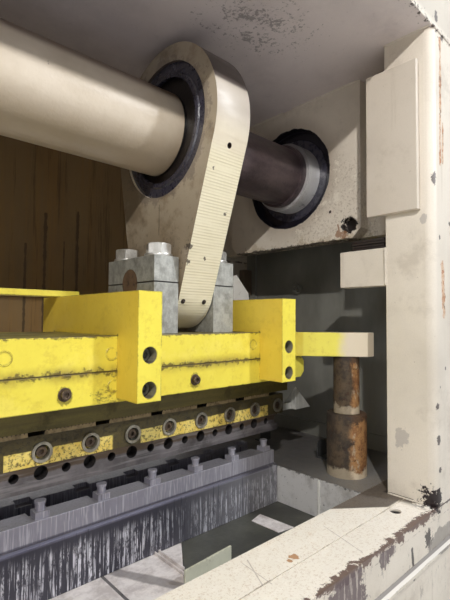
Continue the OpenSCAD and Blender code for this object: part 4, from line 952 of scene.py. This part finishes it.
# %% Mix the covers' paint, clean outside, and darker inside with soot and painted shade
def cover_grey():
    finish = Finish("grey_cover_paint")
    clouds = finish.spots(0.36, 0.68, 4, 6, 0.65)
    finish.colour = finish.lay(clouds, (158, 158, 154), (140, 140, 136))
    runs = finish.spots(0.52, 0.7, 17, 6, 0.7, (1, 1, 0.05))
    finish.stain((96, 88, 78), runs, 0.25)
    worn = finish.both(finish.edges(0.004), finish.spots(0.48, 0.56, 30, 5, 0.7))
    finish.stain((92, 80, 66), worn, 0.7)
    # The inner faces are darker, as soot and painted shade
    inner_shade_and_soot = finish.fall(finish.both(finish.x, finish.face_x), -0.5, -0.3)
    soot_and_shade = finish.lay(finish.spots(0.35, 0.65, 3, 5, 0.6, (1, 1, 0.4)), (150, 149, 142), (118, 118, 112))
    finish.stain(soot_and_shade, inner_shade_and_soot)
    finish.raise_by(0.0004, finish.noise(110, 3, 0.6))
    finish.raise_by(0.0015, finish.noise(8, 2, 0.5))
    return finish.done(0.42)


# %% [markdown]
# ## Dressing the CAD pieces
# Every CAD node gets its finish here. The CAD edges are perfectly sharp, and a sharp edge catches no
# light, so a bevel of a millimetre or two is added as a modifier; the mesh itself isn't changed.

# %% Break sharp edges
def break_edges(piece, width_mm):
    """Rounds the edges of a piece with a small bevel, and hands the bevel back."""
    bevel = piece.modifiers.new("bevel", "BEVEL")
    bevel.width = width_mm / 1000
    bevel.segments = 2
    bevel.limit_method = "ANGLE"
    bevel.angle_limit = math.radians(40)
    return bevel


# %% Give every node its finish
bolt_steel = steel("bright_bolt_steel", (226, 224, 220), (192, 190, 184), (124, 110, 92), (1, 1, 0.2), 0.3,
                   0.35, 0.7)
block_steel = steel("planed_block_steel", (188, 188, 183), (144, 144, 139), (92, 85, 74), (1, 1, 0.75),
                    0.46, 0.4, 0.35, seam_z=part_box("block_caps")[0].z)
# The tool shoe's dark olive stands for oily steel and for painted shade under the ram
shoe_steel = steel("oily_shaded_shoe_steel", (106, 96, 46), (82, 74, 38), (46, 40, 24), (0.08, 1, 1), 0.42, 0.5,
                   0.3)
ring_steel = steel("pale_ring_steel", (172, 167, 154), (118, 112, 100), (66, 58, 46), (1, 1, 0.4), 0.36,
                   0.7, 0.5)
brown_hex = steel("brown_hex_steel", (100, 84, 68), (64, 52, 44), (34, 28, 24), (1, 1, 1), 0.45, 0.6, 0.5)
gusset_steel = steel("pale_gusset_steel", (208, 208, 204), (170, 170, 166), (120, 110, 96), (1, 1, 0.3),
                     0.45, 0.4, 0.2)
deep_screw_steel = steel("deep_screw_steel", (150, 150, 140), (98, 97, 90), (44, 42, 36), (1, 1, 1), 0.34,
                         0.6, 0.6)
bearer_steel = steel("oily_bearer_steel", (128, 124, 124), (98, 95, 96), (58, 54, 54), (1, 0.1, 1), 0.45,
                     0.5, 0.3)
dark_bronze = steel("oily_bronze", (120, 92, 54), (84, 62, 36), (30, 22, 16), (1, 1, 0.2), 0.3, 0.8)
frame_paint = cream_frame()
yellow_paint = ram_yellow()
post_rust = rusty_guide("rusty_post", POST_R, arm_low_z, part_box("guide_sleeves")[1].z + 0.05)
sleeve_rust = rusty_guide("rusty_sleeve", SLEEVE_R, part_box("guide_sleeves")[1].z, sill_z + 0.052)
grey_cover = cover_grey()
tray_grey = workshop("grey_tray_sheet", (128, 126, 124), (100, 98, 98), (62, 58, 56), 0.4, 0.2)
cast_dark = workshop("dark_casting", (74, 74, 74), (54, 54, 55), (34, 30, 28), 0.5, 0.3, 0.0009)
belt_rubber = workshop("belt_rubber", (44, 42, 40), (32, 31, 30), (70, 64, 58), 0.7)
motor_blue = workshop("motor_paint", (92, 116, 138), (72, 94, 116), (50, 52, 54), 0.4)

FINISHES = {
    frame_paint: ("bed_front_beam", "bed_rear_beam", "bed_end_left", "bed_end_right", "sill_plates",
                  "column_front_left", "column_front_right", "column_rear_left", "column_rear_right",
                  "jamb_pads", "stop_blocks", "side_plate_left", "side_plate_right", "boss_plate_left",
                  "boss_plate_right", "crown", "lifting_lugs"),
    cream_shaft(): ("eccentric_shaft",),
    cream_rod(): ("rod_left", "rod_right"),
    yellow_paint: ("ram_upper_bar", "ram_lower_bar", "yokes", "tie_bar", "guide_arms"),
    holder_yellow(): ("tool_holder",),
    bolt_steel: ("cap_bolts",),
    deep_screw_steel: ("yoke_screws",),
    ring_steel: ("holder_rings",),
    brown_hex: ("holder_screws",),
    block_steel: ("block_bases", "block_caps"),
    gusset_steel: ("end_gussets",),
    shoe_steel: ("tool_shoe",),
    bearer_steel: ("die_bearers",),
    rack_steel(): ("rack_segments",),
    scored_die(): ("die_block", "die_rails", "die_posts"),
    comb_steel(): ("punch_strip",),
    rusty_pin(): ("wrist_pins",),
    post_rust: ("guide_posts",),
    sleeve_rust: ("guide_sleeves",),
    wet_grease(): ("seal_rings_left", "seal_rings_right", "main_bushes"),
    dark_bronze: ("rod_bush_left", "rod_bush_right"),
    streaked_panel(): ("rear_cover",),
    grey_cover: ("side_cover_left", "side_cover_right", "brake_housing"),
    tray_grey: ("bed_trays",),
    cast_dark: ("flywheel", "brake_disc", "motor_pulley", "machine_feet", "motor_base"),
    belt_rubber: ("drive_belt",),
    motor_blue: ("motor",),
}

BEVELS_MM = {"column_front_right": 3, "column_front_left": 3, "sill_plates": 2, "crown": 3, "yokes": 2,
             "ram_upper_bar": 2.5, "ram_lower_bar": 2.5, "rod_left": 3, "rod_right": 3, "block_bases": 1.5,
             "block_caps": 1.5, "boss_plate_right": 2.5, "boss_plate_left": 2.5, "die_block": 1.5,
             "die_rails": 1.2, "tool_holder": 1.5, "punch_strip": 0.8, "guide_arms": 3, "jamb_pads": 3,
             "stop_blocks": 3, "end_gussets": 1, "cap_bolts": 0.8, "tie_bar": 1.5, "tool_shoe": 1}
for finish, names in FINISHES.items():
    for name in names:
        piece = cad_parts[name]
        piece.data.materials.clear()
        piece.data.materials.append(finish)
        if name in BEVELS_MM:
            weld = piece.modifiers.new("weld", "WELD")
            weld.merge_threshold = 0.00002
            flat = piece.modifiers.new("flat", "DECIMATE")
            flat.decimate_type = "DISSOLVE"
            flat.angle_limit = math.radians(0.5)
            break_edges(piece, BEVELS_MM[name]).harden_normals = True
print("finished nodes:", sum(len(names) for names in FINISHES.values()))

# %% [markdown]
# ## A bench for small pieces
# Weld beads, screw heads, plugs and plates are too small for the CAD model, but they are what makes a
# welded machine look welded. A second class collects corners and faces in press coordinates. A bead is a
# lumpy half-round rope laid along a path, a turned piece is a profile swept round an axis, and a slab is
# an outline with a thickness.

# %% Make the bench for small pieces
def square_to(way):
    """Two unit vectors, square to way and to each other."""
    along = way.normalized()
    across = along.orthogonal().normalized()
    return across, along.cross(across)


class Shape:
    def __init__(self, name):
        self.name, self.points, self.faces = name, [], []
        self.dice = random.Random(name)

    def skin(self, rings):
        """Joins rings of equally many points into a tube, with flat ends."""
        start, count = len(self.points), len(rings[0])
        for ring in rings:
            self.points += [tuple(point) for point in ring]
        for row in range(len(rings) - 1):
            for step in range(count):
                here, there = start + row * count, start + (row + 1) * count
                after = (step + 1) % count
                self.faces.append((here + step, here + after, there + after, there + step))
        last = start + (len(rings) - 1) * count
        self.faces.append(tuple(start + step for step in reversed(range(count))))
        self.faces.append(tuple(last + step for step in range(count)))

    def turned(self, place, axis, profile, sides=24):
        """A profile of (distance along the axis, radius), swept round the axis from place.

        A third value, a share from 0 to 1, presses that ring toward a hexagon."""
        axis = Vector(axis).normalized()
        across, other = square_to(axis)
        rings = []
        for along, radius, *hexed in profile:
            centre, ring = Vector(place) + axis * along, []
            for step in range(sides):
                angle = 2 * math.pi * step / sides
                corner = math.cos(math.pi / 6) / math.cos(angle % (math.pi / 3) - math.pi / 6)
                reach = radius * (1 + (corner - 1) * hexed[0]) if hexed else radius
                ring.append(centre + across * reach * math.cos(angle) + other * reach * math.sin(angle))
            rings.append(ring)
        self.skin(rings)

    def socket_screw(self, place, axis, radius, height):
        """A socket screw's head with a hexagonal socket, from the face it sits on."""
        socket = radius * 0.55
        self.turned(place, axis, [(0, radius), (height - 0.001, radius), (height, radius - 0.001),
                                  (height, socket + 0.0005), (height - 0.0006, socket, 1),
                                  (height * 0.4, socket, 1), (height * 0.34, socket * 0.2, 1)])

    def slab(self, outline, thickness):
        """A flat outline, made thick by the vector thickness."""
        thickness = Vector(thickness)
        self.skin([outline, [Vector(point) + thickness for point in outline]])

    def box(self, low, high, side=1, depth=1, inset=0.0):
        """A box from low to high, mirrored to a side and a depth of the press."""
        x0, x1 = sorted((side * low[0], side * high[0]))
        y0, y1 = sorted((depth * low[1], depth * high[1]))
        x0, x1, y0, y1 = x0 + inset, x1 - inset, y0 + inset, y1 - inset
        self.slab([(x0, y0, low[2]), (x1, y0, low[2]), (x1, y1, low[2]), (x0, y1, low[2])],
                  (0, 0, high[2] - low[2]))

    def bead(self, start, end, radius=0.0045, pitch=0.0032):
        """A weld bead from start to end: ripples along it, and a slightly wandering width."""
        start, end = Vector(start), Vector(end)
        way = end - start
        steps = max(6, int(way.length / pitch))
        across, other = square_to(way)
        wide, rings = 1.0, []
        for step in range(steps + 1):
            share = step / steps
            wide = min(1.25, max(0.78, wide + self.dice.uniform(-0.07, 0.07)))
            taper = min(1.0, 0.35 + 4 * min(share, 1 - share) * steps / 12)
            size = radius * wide * taper * (1 + 0.10 * math.sin(step * 2.1))
            sway = across * self.dice.uniform(-0.05, 0.05) * radius
            rings.append([start + way * share + sway + across * size * math.cos(math.pi * corner / 4)
                          + other * size * math.sin(math.pi * corner / 4) for corner in range(8)])
        self.skin(rings)

    def make(self, finish, body, bevel_mm=0.0, smooth=False):
        mesh = bpy.data.meshes.new(self.name)
        mesh.from_pydata([tuple(point) for point in self.points], [], self.faces)
        mesh.materials.append(finish)
        piece = bpy.data.objects.new(self.name, mesh)
        bpy.context.scene.collection.objects.link(piece)
        surface = bmesh.new()
        surface.from_mesh(mesh)
        bmesh.ops.recalc_face_normals(surface, faces=surface.faces)
        surface.to_mesh(mesh)
        surface.free()
        if smooth:
            mesh.polygons.foreach_set("use_smooth", [True] * len(mesh.polygons))
        if bevel_mm:
            break_edges(piece, bevel_mm)
        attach(piece, body)
        print("made", self.name, "with", len(self.faces), "faces")


# %% [markdown]
# ## Weld beads
# The press is welded wherever two plates meet, and the beads were painted over. The four corners of the
# press are alike, so each bead is laid four times, mirrored left to right and front to back.

# %% Lay the weld beads
CORNERS = [(side, depth) for side in (1, -1) for depth in (-1, 1)]
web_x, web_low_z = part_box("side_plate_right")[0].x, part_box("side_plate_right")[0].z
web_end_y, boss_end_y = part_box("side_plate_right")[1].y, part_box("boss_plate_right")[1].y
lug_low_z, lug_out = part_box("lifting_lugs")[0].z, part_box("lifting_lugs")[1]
LUG_T, LUG_LONG = 0.05, 0.1198
THIN_BEAD, THICK_BEAD = 0.004, 0.005

beads = Shape("frame_weld_beads")
for side, depth in CORNERS:
    def at(x, y, z):
        return side * x, depth * y, z
    # the stop block on the column's inner corner, and the column on the crown and the sill
    beads.bead(at(jamb_x, -column_in_y, stop_low.z), at(jamb_x, -column_in_y, stop_high.z), THICK_BEAD)
    for y in (-column_in_y, -face_y):
        beads.bead(at(jamb_x + 0.004, y, crown_z), at(column_out_x - 0.004, y, crown_z))
    beads.bead(at(jamb_x, -column_in_y, crown_z), at(jamb_x, -face_y - 0.004, crown_z))
    beads.bead(at(jamb_x, -column_in_y, sill_z), at(jamb_x, -face_y - 0.02, sill_z), THIN_BEAD)
    beads.bead(at(jamb_x + 0.004, -column_in_y, sill_z), at(column_out_x - 0.02, -column_in_y, sill_z),
               THIN_BEAD)
    # the bearing plate under the crown, on its web and between the columns
    beads.bead(at(boss_x, 0.02, crown_z), at(boss_x, boss_end_y - 0.006, crown_z))
    beads.bead(at(web_x, boss_end_y + 0.002, crown_z), at(web_x, web_end_y - 0.005, crown_z))
    beads.bead(at(web_x, boss_end_y, boss_low_z + 0.010), at(web_x, boss_end_y, crown_z - 0.006))
    beads.bead(at(web_x, web_end_y, web_low_z + 0.004), at(web_x, web_end_y, crown_z - 0.006))
    # the bed's end wall on the beams, and the lifting lugs on the crown
    beads.bead(at(bed_wall_x, -beam_in_y, 0.36), at(bed_wall_x, -beam_in_y, sill_low_z - 0.001), THICK_BEAD)
    for y in (lug_out.y - LUG_T, lug_out.y):
        beads.bead(at(lug_out.x - LUG_LONG, y, lug_low_z), at(lug_out.x, y, lug_low_z), THICK_BEAD)
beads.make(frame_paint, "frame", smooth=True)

WALL_BEAD_Y = 0.274
wall_bead = Shape("bed_wall_bead")
for side, depth in CORNERS:
    wall_bead.bead((side * (bed_wall_x - 0.001), depth * WALL_BEAD_Y, tray_z + 0.005),
                   (side * (bed_wall_x - 0.001), depth * WALL_BEAD_Y, sill_z - 0.003), 0.0042)
bead_white = workshop("fresh_bead_paint", (236, 234, 228), (220, 218, 212), (170, 164, 156), 0.5)
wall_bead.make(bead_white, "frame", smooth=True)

# %% [markdown]
# ## Screws, plugs and gussets on the ram
# A row of socket screws holds the two bars of the ram together, and round plugs under the paint close
# older holes. Behind each outer yoke a small white gusset stands on the bar. All of them ride on the ram.

# %% Set the ram's screws, plugs and gussets
SCREW_FOOT = 0.0018
PLUGS_XZ = ((0.064, 1.417), (0.297, 1.415), (0.303, 1.340), (0.776, 1.420))
GUSSET_XZ = ((0.868, ram_top_z), (0.868, 1.652), (0.884, 1.655), (0.944, 1.592), (0.962, ram_top_z))
GUSSET_T = 0.012
ram_screws = Shape("ram_socket_screws")
for x in RAM_SCREWS_X:
    for depth in (-1, 1):
        face = (x, -depth * ram_y, RAM_SCREWS_Z)
        ram_screws.turned(face, (0, depth, 0), [(0, 0.0150), (0.0015, 0.0150), (0.0022, 0.0140)])
        foot = (x, depth * (SCREW_FOOT - ram_y), RAM_SCREWS_Z)
        ram_screws.socket_screw(foot, (0, depth, 0), 0.0110, 0.0100)
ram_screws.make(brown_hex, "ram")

plugs = Shape("ram_hole_plugs")
for x, z in PLUGS_XZ:
    for side, depth in CORNERS:
        plugs.turned((side * x, -depth * ram_y - depth * 0.001, z), (0, depth, 0),
                     [(0, 0.0165), (0.0012, 0.0165), (0.0022, 0.0152), (0.0022, 0.0140),
                      (0.0013, 0.0130)], 32)
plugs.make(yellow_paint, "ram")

white_paint = workshop("white_gusset_paint", (236, 234, 230), (214, 210, 202), (150, 138, 122), 0.5)
ram_gussets = Shape("ram_top_gussets")
for side in (-1, 1):
    ram_gussets.slab([(side * x, -GUSSET_T / 2, z) for x, z in GUSSET_XZ], (0, GUSSET_T, 0))
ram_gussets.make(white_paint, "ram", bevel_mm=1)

# %% [markdown]
# ## Grease nipples on the rods
# Two grease nipples sit on the small eye of each rod, in front and a little below the wrist pin. A nipple
# is a turned foot with a stem and a small ball on top.

# %% Screw in the grease nipples
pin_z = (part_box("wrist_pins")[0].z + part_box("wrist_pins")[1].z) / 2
SMALL_EYE_R, NIPPLE_DROP = 0.132, 0.051
eye_y = -math.sqrt(SMALL_EYE_R ** 2 - NIPPLE_DROP ** 2)
dark_hole = workshop("dark_greasy_hole", (44, 34, 30), (30, 24, 22), (70, 58, 48), 0.5)
for body, side in (("rod_left", -1), ("rod_right", 1)):
    nipples = Shape(body + "_grease_nipples")
    for x in (0.555, 0.633):
        way = Vector((0, eye_y, -NIPPLE_DROP)).normalized()
        foot = Vector((side * x, eye_y, pin_z - NIPPLE_DROP)) - way * 0.002
        nipples.turned(foot, way, [(0, 0.0075), (0.0026, 0.0075), (0.0030, 0.0066), (0.0030, 0.0030),
                                   (0.0060, 0.0030), (0.0066, 0.0020), (0.0080, 0.0026), (0.0092, 0.0012)])
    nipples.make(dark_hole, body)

# %% [markdown]
# ## Loose plates in the bed
# Before and behind the die lie chute plates: bright worn sheet on the left with a raised double rail, and
# a dark plate with a slanted edge on the right that stands in for shade, under a cream strip and a pale plate
# that stands in for a patch of light.

# %% Lay the plates in the bed
def worn_sheet():
    metal = Finish("bright_chute_sheet")
    tint = metal.spots(0.38, 0.62, 14, 6, 0.72)
    metal.colour = metal.lay(tint, (240, 233, 231), (202, 193, 191))
    marks = metal.spots(0.54, 0.62, 45, 5, 0.75, (0.4, 1, 1))
    metal.stain((238, 232, 230), marks, 0.5)
    shade = metal.line((0.352, -0.085, tray_z), (0.47, -0.300, tray_z), 0.020, 0.15, 20)
    metal.stain((112, 106, 106), shade, 0.7)
    metal.raise_by(0.0006, tint)
    return metal.done(0.4, 0.1)


bright_sheet = worn_sheet()
# The dark sheet stands in for shade in the bed
shade_sheet = workshop("dark_shade_sheet", (84, 84, 76), (62, 62, 58), (112, 104, 90), 0.34)
cream_green = workshop("cream_green_strip", (206, 206, 188), (186, 186, 168), (120, 112, 92), 0.5)

# Each outline is (x, y) for the front of the bed; the rear has the same plates, mirrored
PLATE_T, RAIL_HIGH, STRIP_HIGH, LIGHT_PATCH_T = 0.0048, 0.007, 0.038, 0.003
near_y, far_y = beam_in_y + 0.0005, die_y - 0.0003
LEFT_PLATE = ((-0.25, near_y), (0.326, near_y), (0.326, far_y), (-0.25, far_y))
SLANTED_PLATE = ((0.334, near_y), (0.462, near_y), (0.462, -0.262), (0.575, far_y), (0.334, far_y))
NEAR_RAIL = ((0.483, far_y), (0.483, -0.235), (0.4865, -0.2305), (0.4865, far_y))
FAR_RAIL = ((0.496, far_y), (0.496, -0.219), (0.500, -0.2145), (0.500, far_y))
# The plate with the slanted edge on the right is a dark sheet that stands in for shade
SHADE_PLATE = ((0.464, near_y), (0.9985, near_y), (0.9985, far_y), (0.577, far_y), (0.464, -0.262))
CREAM_STRIP = ((0.456, -0.268), (0.618, -0.258), (0.618, -0.264), (0.456, -0.274))
# The pale plate is a bright sheet that stands in for a patch of light
LIGHT_PATCH_PLATE = ((0.819, -0.146), (0.873, -0.132), (0.884, -0.262), (0.825, -0.251))
PLATES = (("bright_chute_plates", bright_sheet, "block_steel", 0.8,
           ((LEFT_PLATE, 0, PLATE_T), (SLANTED_PLATE, 0, PLATE_T),
            (NEAR_RAIL, PLATE_T, RAIL_HIGH), (FAR_RAIL, PLATE_T, RAIL_HIGH))),
          ("oily_chute_plate", shade_sheet, "dark_steel", 0.8, ((SHADE_PLATE, 0, PLATE_T),)),
          ("chute_strip", cream_green, "frame_paint", 0.8, ((CREAM_STRIP, PLATE_T, STRIP_HIGH),)),
          ("pale_cover_plate", bright_sheet, "block_steel", 0.6, ((LIGHT_PATCH_PLATE, PLATE_T, LIGHT_PATCH_T),)))
for depth, place in ((1, "front"), (-1, "rear")):
    for name, finish, slot, bevel_mm, sheets in PLATES:
        plate = Shape(place + "_" + name)
        for outline, lift, high in sheets:
            plate.slab([(x, depth * y, tray_z + lift) for x, y in outline], (0, 0, high))
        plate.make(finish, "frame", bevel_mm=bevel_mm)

# %% [markdown]
# ## Small pieces at the column
# A stack of dark shims lies on each stop block. A small angle bracket stands on the ledge beside each
# sleeve, a brown terminal box hangs on each rear column, and round bolts sit on the side covers' inner faces.

# %% Fit the small pieces at the column
SHIM_T, SHIM_PITCH, SHIM_DEPTH = 0.0065, 0.0085, 0.120
shims = Shape("stop_block_shims")
for side, depth in CORNERS:
    for layer in range(4):
        low_z = stop_high.z + 0.0005 + layer * SHIM_PITCH
        inset = 0.003 * (layer % 2)
        shims.box((jamb_x + 0.004, -column_in_y - SHIM_DEPTH, low_z),
                  (stop_high.x - 0.002, -column_in_y - 0.006, low_z + SHIM_T), side, depth, inset)
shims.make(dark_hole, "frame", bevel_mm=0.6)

BRACKET_T, BRACKET_HIGH, BRACKET_LONG = 0.006, 0.062, 0.060
BRACKET_X, BRACKET_Y = 1.176, 0.140
bracket = Shape("ledge_brackets")
for side, depth in CORNERS:
    bend_y = BRACKET_Y + BRACKET_T
    bracket.box((BRACKET_X, BRACKET_Y, sill_z), (BRACKET_X + BRACKET_LONG, bend_y, sill_z + BRACKET_HIGH),
                side, depth)
    bracket.box((BRACKET_X, bend_y, sill_z), (BRACKET_X + BRACKET_LONG, bend_y + 0.030, sill_z + BRACKET_T),
                side, depth)
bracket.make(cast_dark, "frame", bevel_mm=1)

box_paint = workshop("brown_box_paint", (112, 96, 80), (92, 78, 66), (56, 46, 40), 0.5)
terminal_boxes = Shape("terminal_boxes")
for side in (-1, 1):
    terminal_boxes.box((1.372, 0.440, 1.622), (1.428, -column_in_y - 0.0005, 1.750), side)
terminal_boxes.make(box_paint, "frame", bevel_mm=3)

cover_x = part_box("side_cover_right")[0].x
WASHER_T = 0.004
COVER_BOLTS = ((0.149, 1.645), (-0.36, 1.30), (0.36, 1.30), (-0.36, 1.15), (0.36, 2.20), (-0.36, 2.20))
cover_bolts = Shape("cover_bolts_inside")
for side in (-1, 1):
    for y, z in COVER_BOLTS:
        cover_bolts.turned((side * cover_x, y, z), (-side, 0, 0),
                           [(0, 0.027), (WASHER_T - 0.001, 0.027), (WASHER_T, 0.025)])
        cover_bolts.socket_screw((side * (cover_x - WASHER_T), y, z), (-side, 0, 0), 0.017, 0.012)
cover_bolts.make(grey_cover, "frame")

# %% [markdown]
# ## The room
# The floor is plain and pale. A small key lamp hangs left in front of the press, so the crown throws its
# shadow over the shaft as in the photograph. A cooler hall lamp reaches in from the right, and wide soft
# lamps and a faint even sky light the other sides.

# %% Lay the floor
def pale_floor():
    finish = Finish("pale_floor")
    clouds = finish.spots(0.3, 0.7, 1.5, 3, 0.5)
    finish.colour = finish.lay(clouds, (214, 212, 208), (208, 206, 202))
    return finish.done(0.7)


bpy.ops.mesh.primitive_circle_add(vertices=96, radius=7, fill_type="NGON", location=(0, 0, -0.001))
floor = bpy.context.object
floor.name = "floor"
floor.data.materials.append(pale_floor())

# %% Hang the lamps
def lamp(name, place, target, size, power, colour=(1, 1, 1)):
    data = bpy.data.lights.new(name, "AREA")
    data.shape = "DISK"
    data.size = size
    data.energy = power
    data.color = colour
    light = bpy.data.objects.new(name, data)
    light.location = place
    light.rotation_euler = (Vector(target) - Vector(place)).to_track_quat("-Z", "Y").to_euler()
    bpy.context.scene.collection.objects.link(light)


COOL, WARM = (0.90, 0.95, 1.0), (1.0, 0.97, 0.92)
lamp("key_lamp", (-0.75, -1.90, 3.07), (0.5, -0.3, 1.3), 0.06, 42, WARM)
lamp("hall_lamp", (2.20, -3.20, 3.90), (0.8, -0.5, 1.5), 0.30, 100, COOL)
lamp("front_fill", (-1.4, -4.2, 1.3), (0.2, 0, 1.3), 2.6, 9, WARM)
lamp("low_fill", (-3.6, -2.6, 1.0), (0.8, -0.4, 1.4), 1.6, 15, WARM)
lamp("left_fill", (-5.5, -1.0, 4.0), (0, 0, 1.4), 3.0, 160, COOL)
lamp("back_fill", (2.0, 4.6, 5.6), (0, 0, 1.2), 3.0, 220)
lamp("right_fill", (5.5, 1.6, 4.2), (0, 0, 1.4), 3.0, 150)

# %% Light the sky evenly
world = bpy.data.worlds.new("even_sky")
bpy.context.scene.world = world
world.use_nodes = True
sky_nodes, sky_links = world.node_tree.nodes, world.node_tree.links
soft_sky = sky_nodes["Background"]
soft_sky.inputs["Color"].default_value = (0.80, 0.88, 1.0, 1)
soft_sky.inputs["Strength"].default_value = 0.055
seen_sky = sky_nodes.new("ShaderNodeBackground")
seen_sky.inputs["Color"].default_value = (0.93, 0.93, 0.92, 1)
rays = sky_nodes.new("ShaderNodeLightPath")
straight = sky_nodes.new("ShaderNodeMath")
straight.operation = "MAXIMUM"
sky_links.new(rays.outputs["Is Camera Ray"], straight.inputs[0])
sky_links.new(rays.outputs["Is Glossy Ray"], straight.inputs[1])
choose = sky_nodes.new("ShaderNodeMixShader")
sky_links.new(straight.outputs[0], choose.inputs[0])
sky_links.new(soft_sky.outputs[0], choose.inputs[1])
sky_links.new(seen_sky.outputs[0], choose.inputs[2])
sky_links.new(choose.outputs[0], sky_nodes["World Output"].inputs[0])
